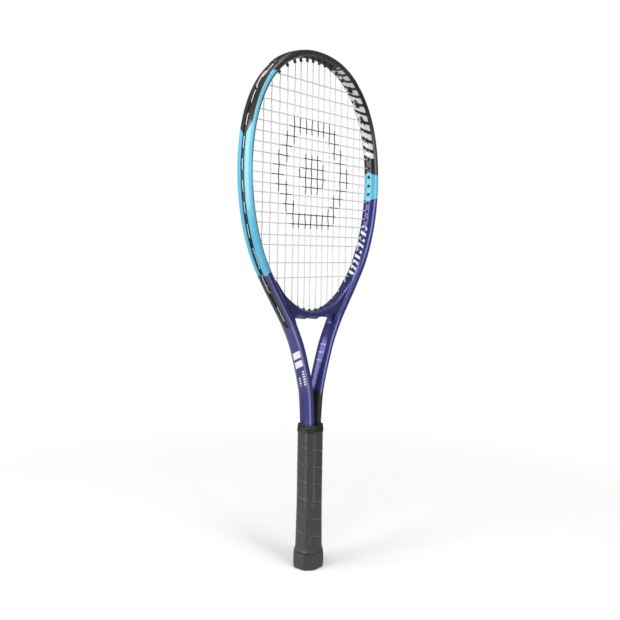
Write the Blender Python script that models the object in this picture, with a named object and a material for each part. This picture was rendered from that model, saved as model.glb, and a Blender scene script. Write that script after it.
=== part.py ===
"""Adult tennis racket: a hollow composite frame with its strings, grommets and wrapped handle.

Metres. +Z runs up the racket from the butt to the tip, X lies across the string bed and Y is
normal to it. The origin is the centre of the butt end's flat face, so the racket stands on Z = 0.
"""

import math

import bmesh
import bpy
from mathutils import Vector

# Head and frame tube
LENGTH = 0.685
RIM_CENTRE_Z = 0.5218
RIM_HALF_WIDTH = 0.1314
RIM_DROP = 0.1868
RIM_RISE = 0.1598
RIM_POWER = 2.15
RIM_LEAVE_ANGLE = math.radians(136.5)
TUBE_HALF_THICKNESS = 0.00625
LEG_HALF_THICKNESS = 0.00585
LEG_CENTRE_X = 0.0060
LEG_END_Z = 0.032
CHANNEL_END_Z = 0.3300
CHANNEL_FADE = 0.012
GUARD_STAND_OFF = 0.0074
HOOP_FACET = 0.015
LEG_FACET = 0.018
TIP_THINNING = RIM_CENTRE_Z + RIM_RISE + GUARD_STAND_OFF - LENGTH
TIP_THIN_UNTIL = 0.150
HOLLOW_INNER = -0.0048
HOLLOW_OUTER = 0.0017
HANDLE_TOP_Z = 0.1850
GAP = 0.0003

# The right leg's centreline from the hoop to the handle, as (x, z)
LEG_ROUTE = [
    (0.0796, 0.3707),
    (0.0612, 0.3458),
    (0.0473, 0.3261),
    (0.0327, 0.3002),
    (0.0239, 0.2784),
    (0.0158, 0.2546),
    (0.0099, 0.2328),
    (0.0076, 0.2145),
    (0.0064, 0.1973),
    (LEG_CENTRE_X, HANDLE_TOP_Z),
    (LEG_CENTRE_X, LEG_END_Z),
]

# Tube sections: half of each outline as (outward, depth), from the outer side round to the inner
HOOP_SECTION = [
    (0.0032, 0.0029),
    (0.0060, 0.0033),
    (0.0045, 0.0098),
    (0.0004, 0.0115),
    (-0.0042, 0.0087),
    (-TUBE_HALF_THICKNESS, 0.0040),
]
LEG_SECTION = [
    (0.0058, 0.0013),
    (0.0057, 0.0046),
    (0.0039, 0.0103),
    (0.0003, 0.0120),
    (-0.0039, 0.0095),
    (-LEG_HALF_THICKNESS, 0.0044),
]
HOOP_HOLLOW = [
    (HOLLOW_OUTER, 0.0040),
    (0.0030, 0.0086),
    (-0.0002, 0.0099),
    (-0.0030, 0.0078),
    (HOLLOW_INNER, 0.0034),
]
LEG_HOLLOW = [
    (0.0043, 0.0037),
    (0.0026, 0.0090),
    (0.0001, 0.0104),
    (-0.0027, 0.0082),
    (-0.00435, 0.0037),
]

# Throat bridge
BRIDGE_HALF_DEPTH = 0.0105
BRIDGE_UNDERSIDE_Z = 0.3322
BRIDGE_ARCH_RISE = 0.0030
BRIDGE_CORNER_X = 0.0380
BRIDGE_FOOT_Z = 0.3174
BRIDGE_LEG_THICKNESS = 0.0014
BRIDGE_TOP_END_ANGLE = math.radians(141.0)
LEG_ROOM_FROM_Z = 0.4050
LEG_ROOM_TO_Z = 0.2980
BRIDGE_EDGE = 0.0028
BRIDGE_FACET = 0.0058
BRIDGE_CORNER_CUT = 0.0035
BRIDGE_CORNER_DROP = 0.0040
UNDERSIDE_FACET = 0.0028
FOOT_FACET = 0.0060
MIDDLE_FACET = 0.0120
RIM_FACET = math.radians(4.0)
GROOVE_HALF_WIDTH = 0.0029
GROOVE_DEPTH = 0.0025
GROOVE_END_X = 0.0350
HOOD_CENTRES = (-0.0244, 0.0, 0.0244)
HOOD_HALF_WIDTH = 0.0070
HOOD_DROP = 0.0022

# Strings: places of the straight runs, from the middle out and from the top down
STRING_RADIUS = 0.00065
MAIN_X = [0.0063, 0.0181, 0.0308, 0.0425, 0.0566, 0.0715, 0.0867, 0.1011]
CROSS_Z = [
    0.6435, 0.6261, 0.6088, 0.5945, 0.5812, 0.5681, 0.5547, 0.5420, 0.5294, 0.5170,
    0.5047, 0.4928, 0.4803, 0.4681, 0.4554, 0.4405, 0.4280, 0.4052, 0.3859,
]
WEAVE_OFFSET = 2 * STRING_RADIUS + GAP
STRING_IN_CHANNEL = 0.00525
PASSING_OFFSET = 0.0016

# Grommets and bumper guard
HOLE_RADIUS = 0.0022
DRILL_START = -0.0060
DRILL_BEYOND = 0.0030
BARREL_RADIUS = 0.0016
BARREL_BORE = 0.00115
BARREL_REACH_HEAD = 0.0050
BARREL_REACH_SIDE = 0.0014
STRING_BEND = 0.0010
STRIP_INNER = 0.0035
STRIP_OUTER = 0.0043
STRIP_HALF_WIDTH = 0.0026
GUARD_MAINS = 6
SIDE_MAIN = 7
BRIDGE_MAINS = 3
ROUND_SIDES = 6
STRING_IN_BRIDGE = GAP + (STRIP_OUTER - STRIP_INNER) + GAP + STRING_RADIUS

# Handle, as (width, depth) of octagons
PALLET_SIZE = (0.0310, 0.0268)
PALLET_BOTTOM_Z = 0.0045
PALLET_TOP_Z = HANDLE_TOP_Z
PLUG_SIZE = (0.0256, 0.0216)
PLUG_TOP_Z = 0.0300
TAPE_THICKNESS = 0.0015
TAPE_BOTTOM_Z = 0.0215
TAPE_TOP_Z = 0.1828
TAPE_PITCH = 0.0228
TAPE_THIN_END = 0.0015
TAPE_CROWN = 0.35
CAP_TOP_Z = 0.0300
CAP_WIDEST = (0.0408, 0.0364)
CAP_END_WALL = 0.0040
DOOR_SIZE = (0.0200, 0.0160)
OCTAGON_FLAT = 0.48
LEG_ROOM_FLAT = 0.69
STAPLE_WIRE = 0.0009
STAPLE_CROWN = 0.0100
STAPLE_LEG = 0.0055
STAPLE_Z = 0.0262
FINISH_BOTTOM_Z = 0.1806
FINISH_TOP_Z = 0.1844
COLLAR_BOTTOM_Z = 0.1847
COLLAR_SHOULDER = 0.0020
COLLAR_TOP_Z = 0.1902


def material(name, colour, roughness, metallic=0.0):
    made = bpy.data.materials.new(name)
    made.use_nodes = True
    shader = made.node_tree.nodes["Principled BSDF"]
    shader.inputs["Base Color"].default_value = (*colour, 1.0)
    shader.inputs["Roughness"].default_value = roughness
    shader.inputs["Metallic"].default_value = metallic
    made.diffuse_color = (*colour, 1.0)
    return made


def collection(name, hidden=False):
    made = bpy.data.collections.new(name)
    made.hide_render = hidden
    bpy.context.scene.collection.children.link(made)
    return made


def place(name, data, group, finish=None):
    """Links an object that holds the mesh or curve to a collection, with its material."""
    obj = bpy.data.objects.new(name, data)
    group.objects.link(obj)
    if finish:
        obj.data.materials.append(finish)
    else:
        obj.hide_render = True
        obj.display_type = "WIRE"
    return obj


def mesh_from(name, shape):
    bmesh.ops.recalc_face_normals(shape, faces=shape.faces)
    mesh = bpy.data.meshes.new(name)
    shape.to_mesh(mesh)
    shape.free()
    return mesh


def add_loft(shape, rings):
    """Skins a row of closed rings and caps both ends."""
    rows = [[shape.verts.new(point) for point in ring] for ring in rings]
    for row, following in zip(rows, rows[1:]):
        for index, vert in enumerate(row):
            before = index - 1
            shape.faces.new((row[before], vert, following[index], following[before]))
    shape.faces.new(rows[0])
    shape.faces.new(rows[-1])


def add_rod(shape, start, end, radius, sides=ROUND_SIDES):
    """A capped prism from start to end, with two of its flats facing +Y and -Y."""
    along = end - start
    turn = along.to_track_quat("Z", "Y").to_matrix().to_4x4()
    turn.translation = (start + end) / 2
    bmesh.ops.create_cone(
        shape,
        cap_ends=True,
        segments=sides,
        radius1=radius,
        radius2=radius,
        depth=along.length,
        matrix=turn,
    )


def boolean(obj, cutter, operation):
    modifier = obj.modifiers.new(operation.title() + "_" + cutter.name, "BOOLEAN")
    modifier.operation = operation
    modifier.object = cutter


def whole(half):
    """The full outline whose +Y half is given from the outer side round to the inner side."""
    return half + [(outward, -depth) for outward, depth in reversed(half)]


def mixed(section, other, share):
    return [
        (a + (c - a) * share, b + (d - b) * share)
        for (a, b), (c, d) in zip(section, other)
    ]


def rim_point(angle):
    """The head's centreline as (x, z), at an angle from the tip towards +X."""
    across, up = math.sin(angle), math.cos(angle)
    if up < 0:
        return Vector((RIM_HALF_WIDTH * across, RIM_CENTRE_Z + RIM_DROP * up))
    across, up = across ** (2 / RIM_POWER), up ** (2 / RIM_POWER)
    return Vector((RIM_HALF_WIDTH * across, RIM_CENTRE_Z + RIM_RISE * up))


def rim_normal(angle):
    x, z = rim_point(angle) - Vector((0, RIM_CENTRE_Z))
    if z < 0:
        return Vector((x / RIM_HALF_WIDTH**2, z / RIM_DROP**2)).normalized()
    across = x ** (RIM_POWER - 1) / RIM_HALF_WIDTH**RIM_POWER
    up = z ** (RIM_POWER - 1) / RIM_RISE**RIM_POWER
    return Vector((across, up)).normalized()


def rim_inside(angle):
    return rim_point(angle) - TUBE_HALF_THICKNESS * rim_normal(angle)


def smooth_through(points, per_span):
    """A Catmull-Rom curve through the points, leaving out the first one."""
    ends = [2 * points[0] - points[1]] + points + [2 * points[-1] - points[-2]]
    made = []
    for a, b, c, d in zip(ends, ends[1:], ends[2:], ends[3:]):
        for step in range(1, per_span + 1):
            t = step / per_span
            made.append(
                (2 * b + (c - a) * t + (2 * a - 5 * b + 4 * c - d) * t**2
                 + (3 * b - a - 3 * c + d) * t**3) / 2
            )
    return made


class Route:
    """The right half of the tube's centreline, measured along its length from the tip."""

    def __init__(self):
        arc = [rim_point(RIM_LEAVE_ANGLE * step / 200) for step in range(201)]
        points = arc + smooth_through([arc[-1]] + [Vector(p) for p in LEG_ROUTE], 16)
        self.points = points
        self.lengths = [0.0]
        for start, end in zip(points, points[1:]):
            self.lengths.append(self.lengths[-1] + (end - start).length)

    def at(self, length):
        """The centre and the outward normal there."""
        index = 1
        while index < len(self.lengths) - 1 and self.lengths[index] < length:
            index += 1
        start, end = self.points[index - 1], self.points[index]
        share = (length - self.lengths[index - 1]) / (end - start).length
        before = self.points[max(index - 3, 0)]
        after = self.points[min(index + 2, len(self.points) - 1)]
        along = (after - before).normalized()
        if index < 3:
            along = Vector((1, 0)).lerp(along, min(length / 0.004, 1)).normalized()
        return start.lerp(end, share), Vector((-along.y, along.x))

    def nearest(self, point):
        """The length along the route next to the point, and how far outward the point lies."""
        index = min(range(len(self.points)), key=lambda i: (self.points[i] - point).length)
        centre, normal = self.at(self.lengths[index])
        along = Vector((normal.y, -normal.x))
        return self.lengths[index] + (point - centre).dot(along), (point - centre).dot(normal)

    def length_at(self, height):
        """The length at which the route comes down to the height."""
        index = next(
            i for i, p in enumerate(self.points) if i > 100 and p.y <= height
        )
        return self.lengths[index]


ROUTE = Route()
LEAVE_LENGTH = ROUTE.lengths[200]
CHANNEL_END = ROUTE.length_at(CHANNEL_END_Z)
STRAIGHT_START = ROUTE.length_at(HANDLE_TOP_Z)
ROUTE_END = ROUTE.lengths[-1]


def in_space(flat, side=1, depth=0.0):
    return Vector((side * flat.x, depth, flat.y))


def spaced(start, end, step):
    count = max(1, round(abs(end - start) / step))
    return [start + (end - start) * index / count for index in range(count + 1)]


# Where the tube has its rings, so that what lies on it can follow the same facets
STATIONS = (
    spaced(0, CHANNEL_END - CHANNEL_FADE / 2, HOOP_FACET)
    + spaced(CHANNEL_END + CHANNEL_FADE / 2, STRAIGHT_START, LEG_FACET)
    + [ROUTE_END]
)


def stations_between(start, end):
    margin = 0.002
    between = [s for s in STATIONS if start + margin < s < end - margin]
    return [start] + between + [end]


def thinning(length):
    """How much less the tube measures across its hollow there: most at the tip."""
    share = min(length / TIP_THIN_UNTIL, 1.0)
    return TIP_THINNING * (1 + math.cos(share * math.pi)) / 2


def ring(length, half_section, side):
    """A section there, with its outer wall drawn in and its inner wall where it is."""
    centre, normal = ROUTE.at(length)
    made = []
    for outward, depth in whole(half_section):
        share = (outward - HOLLOW_INNER) / (HOLLOW_OUTER - HOLLOW_INNER)
        drawn_in = thinning(length) * min(max(share, 0.0), 1.0)
        made.append(in_space(centre + (outward - drawn_in) * normal, side, depth))
    return made


def tube_section(length, hoop, leg):
    share = min(max((length - CHANNEL_END) / CHANNEL_FADE + 0.5, 0.0), 1.0)
    return mixed(hoop, leg, share)


def both_sides(lengths, section_at):
    """Rings from the left leg's end over the tip to the right leg's end."""
    left = [ring(length, section_at(length), -1) for length in reversed(lengths)]
    return left + [ring(length, section_at(length), 1) for length in lengths[1:]]


class Pass:
    """Where a string end goes through the rim, along its normal, or straight down the bridge."""

    def __init__(self, angle, side, reach, bridge=False):
        self.side = side
        self.reach = reach
        self.mouth = rim_inside(angle)
        self.way = Vector((0, -1)) if bridge else rim_normal(angle)
        self.bridge = bridge
        travel = 0.0
        while not self.outside(self.mouth + travel * self.way):
            travel += 0.0001
        self.travel = travel
        self.length = ROUTE.nearest(self.mouth + travel * self.way)[0]

    def outside(self, flat):
        if self.bridge:
            return flat.y < bridge_underside(flat.x) + GROOVE_DEPTH - STRING_IN_BRIDGE
        length, outward = ROUTE.nearest(flat)
        return outward >= STRING_IN_CHANNEL - thinning(length)

    def point(self, travel):
        return in_space(self.mouth + travel * self.way, self.side)

    def inner_end(self):
        return self.point(-self.reach - STRING_BEND)

    def corner(self):
        return self.point(self.travel)


def bridge_underside(x):
    """The lower edge of the bridge without its hoods: a shallow arch."""
    return BRIDGE_UNDERSIDE_Z + BRIDGE_ARCH_RISE * (x / BRIDGE_CORNER_X) ** 2


def angle_where(value, low, high):
    """Bisection for the angle at which value(angle) is zero."""
    rising = value(high) > value(low)
    for _ in range(60):
        middle = (low + high) / 2
        if (value(middle) > 0) == rising:
            high = middle
        else:
            low = middle
    return (low + high) / 2


def bend_point(angle, reach):
    """Just clear of the barrel's mouth, where a string turns into its straight run."""
    return rim_inside(angle) - (reach + STRING_BEND) * rim_normal(angle)


def main_pass(index, side, top):
    x = MAIN_X[index]
    if index < BRIDGE_MAINS and not top:
        angle = angle_where(lambda a: rim_inside(a).x - x, math.pi, math.pi / 2)
        return Pass(angle, side, BARREL_REACH_SIDE, bridge=True)
    reach = BARREL_REACH_HEAD if top and index < GUARD_MAINS else BARREL_REACH_SIDE
    end = 0.001 if top else math.pi
    angle = angle_where(lambda a: bend_point(a, reach).x - x, end, math.pi / 2)
    return Pass(angle, side, reach)


def cross_pass(index, side):
    z = CROSS_Z[index]
    reach = BARREL_REACH_SIDE
    angle = angle_where(lambda a: bend_point(a, reach).y - z, 0.001, math.pi)
    return Pass(angle, side, reach)


def all_passes():
    mains = {
        (side, index, top): main_pass(index, side, top)
        for side in (-1, 1)
        for index in range(len(MAIN_X))
        for top in (True, False)
    }
    crosses = {
        (side, index): cross_pass(index, side)
        for side in (-1, 1)
        for index in range(len(CROSS_Z))
    }
    return mains, crosses


def hole_cutter(name, passes, radius, group):
    """One rod along each pass, from inside the head to beyond the outer side."""
    shape = bmesh.new()
    for item in passes:
        add_rod(shape, item.point(DRILL_START), item.point(item.travel + DRILL_BEYOND), radius)
    return place(name, mesh_from(name, shape), group)


def frame_tube(passes, finish, parts, cutters):
    """The hairpin tube: hollow right through, open at the leg ends, drilled for the strings."""
    shape = bmesh.new()
    rings = both_sides(STATIONS, lambda s: tube_section(s, HOOP_SECTION, LEG_SECTION))
    add_loft(shape, rings)
    tube = place("frame_tube", mesh_from("frame_tube", shape), parts, finish)

    rings = both_sides(STATIONS, lambda s: tube_section(s, HOOP_HOLLOW, LEG_HOLLOW))
    beyond = Vector((0, 0, -0.002))
    rings = [[p + beyond for p in rings[0]]] + rings + [[p + beyond for p in rings[-1]]]
    shape = bmesh.new()
    add_loft(shape, rings)
    hollow = place("tube_hollow", mesh_from("tube_hollow", shape), cutters)
    boolean(tube, hollow, "DIFFERENCE")
    boolean(tube, hole_cutter("tube_holes", passes, HOLE_RADIUS, cutters), "DIFFERENCE")


def flat_solid(name, outline, half_depth, group, finish=None):
    """A closed outline in the XZ plane, filled and extruded to both sides of it."""
    curve = bpy.data.curves.new(name + "_outline", "CURVE")
    curve.dimensions = "2D"
    curve.fill_mode = "BOTH"
    curve.extrude = half_depth
    spline = curve.splines.new("POLY")
    spline.points.add(len(outline) - 1)
    for point, flat in zip(spline.points, outline):
        point.co = (flat[0], flat[1], 0, 1)
    spline.use_cyclic_u = True
    flat_object = bpy.data.objects.new(name + "_outline", curve)
    flat_object.rotation_euler = (math.pi / 2, 0, 0)
    group.objects.link(flat_object)
    bpy.context.view_layer.update()
    graph = bpy.context.evaluated_depsgraph_get()
    mesh = bpy.data.meshes.new_from_object(flat_object.evaluated_get(graph))
    mesh.transform(flat_object.matrix_world)
    bpy.data.objects.remove(flat_object)
    shape = bmesh.new()
    shape.from_mesh(mesh)
    bmesh.ops.remove_doubles(shape, verts=shape.verts, dist=1e-6)
    bpy.data.meshes.remove(mesh)
    return place(name, mesh_from(name, shape), group, finish)


def hooded_underside(x):
    """The bridge's lower edge with a rounded hood over each string loop."""
    drop = 0.0
    for centre in HOOD_CENTRES:
        share = abs(x - centre) / HOOD_HALF_WIDTH
        if share < 1:
            drop = HOOD_DROP * math.cos(share * math.pi / 2) ** 2
    return bridge_underside(x) - drop


def bridge_outline(inset):
    """The yoke seen from the front: underside, corners, feet on the legs, and the rim's inside."""
    lower = [
        Vector((x, hooded_underside(x) + inset))
        for x in spaced(0, BRIDGE_CORNER_X - BRIDGE_CORNER_CUT, UNDERSIDE_FACET)
    ]
    foot = ROUTE.length_at(BRIDGE_FOOT_Z)
    step = LEG_HALF_THICKNESS + GAP + BRIDGE_LEG_THICKNESS - inset
    inner = []
    corner = ROUTE.length_at(BRIDGE_UNDERSIDE_Z - BRIDGE_CORNER_DROP)
    for length in spaced(corner, foot, FOOT_FACET):
        centre, normal = ROUTE.at(length)
        inner.append(centre - step * normal)
    middle = [ROUTE.at(s)[0] for s in spaced(foot, LEAVE_LENGTH + MIDDLE_FACET, MIDDLE_FACET)]
    rim = [
        rim_inside(angle) + inset * rim_normal(angle)
        for angle in spaced(BRIDGE_TOP_END_ANGLE, math.pi, RIM_FACET)
    ]
    half = lower + inner + middle + rim[:-1]
    left = [Vector((-p.x, p.y)) for p in reversed(half[1:])]
    return half + [rim[-1]] + left


def throat_bridge(passes, finish, parts, cutters):
    """The foam-cored yoke that closes the head, shaped to the insides of the two legs."""
    shape = bmesh.new()
    faces = (-BRIDGE_HALF_DEPTH, BRIDGE_EDGE), (BRIDGE_EDGE - BRIDGE_HALF_DEPTH, 0.0)
    levels = faces + tuple((-depth, inset) for depth, inset in reversed(faces))
    add_loft(
        shape,
        [[in_space(p, 1, depth) for p in bridge_outline(inset)] for depth, inset in levels],
    )
    bridge = place("throat_bridge", mesh_from("throat_bridge", shape), parts, finish)

    grow = 1 + 1.3 * GAP / LEG_HALF_THICKNESS
    shape = bmesh.new()
    start, end = ROUTE.length_at(LEG_ROOM_FROM_Z), ROUTE.length_at(LEG_ROOM_TO_Z)
    for side in (-1, 1):
        rings = []
        for length in [s for s in STATIONS if start < s < end]:
            section = tube_section(length, HOOP_SECTION, LEG_SECTION)
            grown = [(a * grow, b * grow + GAP) for a, b in section]
            grown[0] = (grown[1][0], grown[0][1])
            rings.append(ring(length, grown, side))
        add_loft(shape, rings)
    boolean(bridge, place("leg_room", mesh_from("leg_room", shape), cutters), "DIFFERENCE")

    xs = spaced(-GROOVE_END_X, GROOVE_END_X, BRIDGE_FACET)
    outline = [Vector((x, bridge_underside(x) + GROOVE_DEPTH)) for x in xs]
    outline += [Vector((x, BRIDGE_UNDERSIDE_Z - 0.006)) for x in (GROOVE_END_X, -GROOVE_END_X)]
    groove = flat_solid("loop_groove", outline, GROOVE_HALF_WIDTH, cutters)
    boolean(bridge, groove, "DIFFERENCE")
    boolean(bridge, hole_cutter("bridge_holes", passes, HOLE_RADIUS, cutters), "DIFFERENCE")


def grommets(name, body_rings, passes, finish, parts, cutters):
    """A moulded strip with one barrel for each hole, bored for the string."""
    shape = bmesh.new()
    add_loft(shape, body_rings)
    strip = place(name, mesh_from(name, shape), parts, finish)
    shape = bmesh.new()
    for item in passes:
        lean = 0.0 if item.bridge else abs(item.way.cross(ROUTE.at(item.length)[1]))
        end = item.travel - GAP - STRING_RADIUS - BARREL_RADIUS * lean - 0.0003
        add_rod(shape, item.point(-item.reach), item.point(end), BARREL_RADIUS)
    barrels = place(name + "_barrels", mesh_from(name + "_barrels", shape), cutters)
    boolean(strip, barrels, "UNION")
    boolean(strip, hole_cutter(name + "_bores", passes, BARREL_BORE, cutters), "DIFFERENCE")


STRIP_SECTION = [(STRIP_OUTER, STRIP_HALF_WIDTH), (STRIP_INNER, STRIP_HALF_WIDTH)]
GUARD_SECTION = [
    (STRIP_OUTER, 0.0020),
    (GUARD_STAND_OFF, 0.0026),
    (0.0066, 0.0082),
    (0.0054, 0.0094),
    (0.0050, 0.0088),
    (0.0064, 0.0030),
    (STRIP_INNER, STRIP_HALF_WIDTH),
]


def grommet_set(mains, crosses, finish, parts, cutters):
    """The bumper guard over the tip, and the strips down each side and under the bridge."""
    guard_end = (mains[1, GUARD_MAINS - 1, True].length + crosses[1, 0].length) / 2
    side_end = (crosses[1, len(CROSS_Z) - 2].length + mains[1, SIDE_MAIN - 1, False].length) / 2
    throat_end = CHANNEL_END - 0.55 * CHANNEL_FADE

    tops = [
        mains[side, index, True] for side in (-1, 1) for index in range(GUARD_MAINS)
    ]
    lengths = stations_between(0.0, guard_end - GAP)
    rings = both_sides(lengths, lambda s: GUARD_SECTION)
    grommets("bumper_guard", rings, tops, finish, parts, cutters)

    for side, word in ((-1, "left"), (1, "right")):
        down = [crosses[side, index] for index in range(len(CROSS_Z) - 1)]
        down += [mains[side, GUARD_MAINS, True]]
        down += [mains[side, SIDE_MAIN, top] for top in (True, False)]
        rings = [
            ring(s, STRIP_SECTION, side) for s in stations_between(guard_end + GAP, side_end - GAP)
        ]
        grommets("side_grommet_strip_" + word, rings, down, finish, parts, cutters)

        lower = [mains[side, index, False] for index in range(BRIDGE_MAINS, SIDE_MAIN)]
        lower.append(crosses[side, len(CROSS_Z) - 1])
        rings = [
            ring(s, STRIP_SECTION, side) for s in stations_between(side_end + GAP, throat_end)
        ]
        grommets("throat_grommet_strip_" + word, rings, lower, finish, parts, cutters)

    under = [
        mains[side, index, False] for side in (-1, 1) for index in range(BRIDGE_MAINS)
    ]
    reach = GROOVE_END_X - 0.0006
    top = GROOVE_DEPTH - GAP
    bottom = top - (STRIP_OUTER - STRIP_INNER)
    rings = [
        [
            Vector((x, depth, bridge_underside(x) + level))
            for level, depth in (
                (top, STRIP_HALF_WIDTH), (bottom, STRIP_HALF_WIDTH),
                (bottom, -STRIP_HALF_WIDTH), (top, -STRIP_HALF_WIDTH),
            )
        ]
        for x in spaced(-reach, reach, BRIDGE_FACET)
    ]
    grommets("bridge_grommet_strip", rings, under, finish, parts, cutters)


def channel_loop(first, second, passes, sign):
    """The string's way along the outer channel, aside from any string end it has to pass."""
    low, high = sorted((first.length, second.length))
    passes_another = any(
        other.side == first.side and not other.bridge and low < other.length < high
        for other in passes
    )
    offset = sign * PASSING_OFFSET if passes_another else 0.0
    span = second.length - first.length
    shares = (0.25, 0.75) if passes_another else (0.5,)
    made = []
    for share in shares:
        length = first.length + span * share
        centre, normal = ROUTE.at(length)
        outward = STRING_IN_CHANNEL - thinning(length)
        made.append(in_space(centre + outward * normal, first.side, offset))
    return made


def run_string(ends, loops):
    """Joins the straight runs with their outside loops into one list of points."""
    points = []
    for index, (start, end) in enumerate(ends):
        points += [start.corner(), start.inner_end()]
        points += loops.get(("run", index), [])
        points += [end.inner_end(), end.corner()]
        points += loops.get(("loop", index), [])
    return points


def string_object(name, points, finish, parts):
    curve = bpy.data.curves.new(name, "CURVE")
    curve.dimensions = "3D"
    curve.bevel_depth = STRING_RADIUS
    curve.bevel_resolution = 0
    curve.use_fill_caps = True
    spline = curve.splines.new("POLY")
    spline.points.add(len(points) - 1)
    for point, place_on_string in zip(spline.points, points):
        point.co = (*place_on_string, 1)
    place(name, curve, parts, finish)


def main_string(mains, passes, finish, parts):
    """Sixteen runs up and down, looping outside the rim at each end in turn."""
    columns = [(-1, i) for i in reversed(range(len(MAIN_X)))]
    columns += [(1, i) for i in range(len(MAIN_X))]
    ends, loops = [], {}
    for number, (side, index) in enumerate(columns):
        upward = number % 2 == 0
        start, end = mains[side, index, not upward], mains[side, index, upward]
        ends.append((start, end))
        if number + 1 == len(columns):
            continue
        following = mains[(*columns[number + 1], upward)]
        if end.bridge:
            middle = (end.corner() + following.corner()) / 2
            level = bridge_underside(middle.x) + GROOVE_DEPTH - STRING_IN_BRIDGE
            loops["loop", number] = [Vector((middle.x, 0, level))]
        else:
            loops["loop", number] = channel_loop(end, following, passes, 1)
    string_object("main_string", run_string(ends, loops), finish, parts)


def cross_string(crosses, passes, finish, parts):
    """Nineteen runs across, over and under the mains in turn, from the tip to the throat."""
    columns = sorted([-x for x in MAIN_X] + MAIN_X)
    ends, loops = [], {}
    for number, height in enumerate(CROSS_Z):
        side = 1 if number % 2 == 0 else -1
        start, end = crosses[side, number], crosses[-side, number]
        ends.append((start, end))
        reach = start.inner_end().x * side
        weave = [
            Vector((x, WEAVE_OFFSET * (-1) ** (place_in_row + number), height))
            for place_in_row, x in enumerate(columns)
            if abs(x) < reach - 0.0006
        ]
        loops["run", number] = weave if side < 0 else weave[::-1]
        if number + 1 < len(CROSS_Z):
            following = crosses[-side, number + 1]
            loops["loop", number] = channel_loop(end, following, passes, -1)
    string_object("cross_string", run_string(ends, loops), finish, parts)


def octagon(size, z, flat=OCTAGON_FLAT):
    """The corners of a bevelled rectangle; flat is the share of each side left straight."""
    half_x, half_y = size[0] / 2, size[1] / 2
    cut_x, cut_y = half_x * flat, half_y * flat
    return [
        Vector((half_x, cut_y, z)), Vector((cut_x, half_y, z)),
        Vector((-cut_x, half_y, z)), Vector((-half_x, cut_y, z)),
        Vector((-half_x, -cut_y, z)), Vector((-cut_x, -half_y, z)),
        Vector((cut_x, -half_y, z)), Vector((half_x, -cut_y, z)),
    ]


def grown(size, amount):
    return size[0] + 2 * amount, size[1] + 2 * amount


def octagon_solid(name, levels, group, finish=None):
    shape = bmesh.new()
    add_loft(shape, [octagon(size, z, *flat) for z, size, *flat in levels])
    return place(name, mesh_from(name, shape), group, finish)


def box_solid(name, low, high, group, finish=None):
    shape = bmesh.new()
    bmesh.ops.create_cube(shape, size=1.0)
    bmesh.ops.scale(shape, vec=high - low, verts=shape.verts)
    bmesh.ops.translate(shape, vec=(low + high) / 2, verts=shape.verts)
    return place(name, mesh_from(name, shape), group, finish)


def under_tape(z):
    """The size of the surface that the grip tape lies on: straight, then flaring at the cap."""
    levels = [
        (TAPE_BOTTOM_Z, grown(PALLET_SIZE, 0.0024)),
        (0.0258, grown(PALLET_SIZE, 0.0009)),
        (CAP_TOP_Z, PALLET_SIZE),
    ]
    for (low_z, low), (high_z, high) in zip(levels, levels[1:]):
        if z <= high_z:
            share = (z - low_z) / (high_z - low_z)
            return tuple(a + (b - a) * share for a, b in zip(low, high))
    return PALLET_SIZE


def staple_boxes(side, margin):
    """Crown and two legs of a staple in the cap's neck, on the wide face towards side."""
    surface = under_tape(STAPLE_Z)[1] / 2 - 0.0001
    inner = surface - STAPLE_LEG
    half = STAPLE_CROWN / 2
    wire = STAPLE_WIRE
    low_z, high_z = STAPLE_Z - wire / 2 - margin, STAPLE_Z + wire / 2 + margin
    boxes = [((-half - margin, surface - wire - margin), (half + margin, surface + margin))]
    for x in (-half, half - wire):
        boxes.append(((x - margin, inner - margin), (x + wire + margin, surface + margin)))
    return [
        (Vector((x0, side * y0, low_z)), Vector((x1, side * y1, high_z)))
        for (x0, y0), (x1, y1) in boxes
    ]


def staple(word, side, finish, parts, cutters):
    """A wire staple; returns the room it needs in the cap and the pallet."""
    crown, *legs = staple_boxes(side, 0.0)
    obj = box_solid("cap_staple_" + word, *crown, parts, finish)
    for index, leg in enumerate(legs):
        name = f"staple_leg_{word}_{index}"
        boolean(obj, box_solid(name, *leg, cutters), "UNION")
    crown, *legs = staple_boxes(side, GAP)
    room = box_solid("staple_room_" + word, *crown, cutters)
    for index, leg in enumerate(legs):
        name = f"staple_room_leg_{word}_{index}"
        boolean(room, box_solid(name, *leg, cutters), "UNION")
    return room


def leg_pair_room(cutters):
    """The space that both legs of the frame take up inside the handle."""
    half_x = LEG_CENTRE_X + LEG_HALF_THICKNESS + GAP
    half_y = max(depth for _, depth in LEG_SECTION) + GAP
    shape = bmesh.new()
    size = (2 * half_x, 2 * half_y)
    rings = [octagon(size, z, LEG_ROOM_FLAT) for z in (LEG_END_Z - GAP, COLLAR_TOP_Z + 0.02)]
    add_loft(shape, rings)
    return place("leg_pair_room", mesh_from("leg_pair_room", shape), cutters)


def pallets(staple_rooms, finish, parts, cutters):
    """Two moulded half shells that clamp the legs and end in a plug inside the cap."""
    legs = leg_pair_room(cutters)
    levels = [
        (PALLET_BOTTOM_Z, PLUG_SIZE),
        (PLUG_TOP_Z + GAP, PLUG_SIZE),
        (PLUG_TOP_Z + GAP + 0.0001, PALLET_SIZE),
        (PALLET_TOP_Z, PALLET_SIZE),
    ]
    far = 0.05
    for side, word in ((-1, "front"), (1, "back")):
        half = octagon_solid("pallet_" + word, levels, parts, finish)
        low, high = sorted((side * GAP / 2, far * -side))
        other = box_solid(
            "other_half_of_" + word, Vector((-far, low, -0.01)), Vector((far, high, 0.25)), cutters
        )
        boolean(half, other, "DIFFERENCE")
        boolean(half, legs, "DIFFERENCE")
        boolean(half, staple_rooms[side], "DIFFERENCE")


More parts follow.
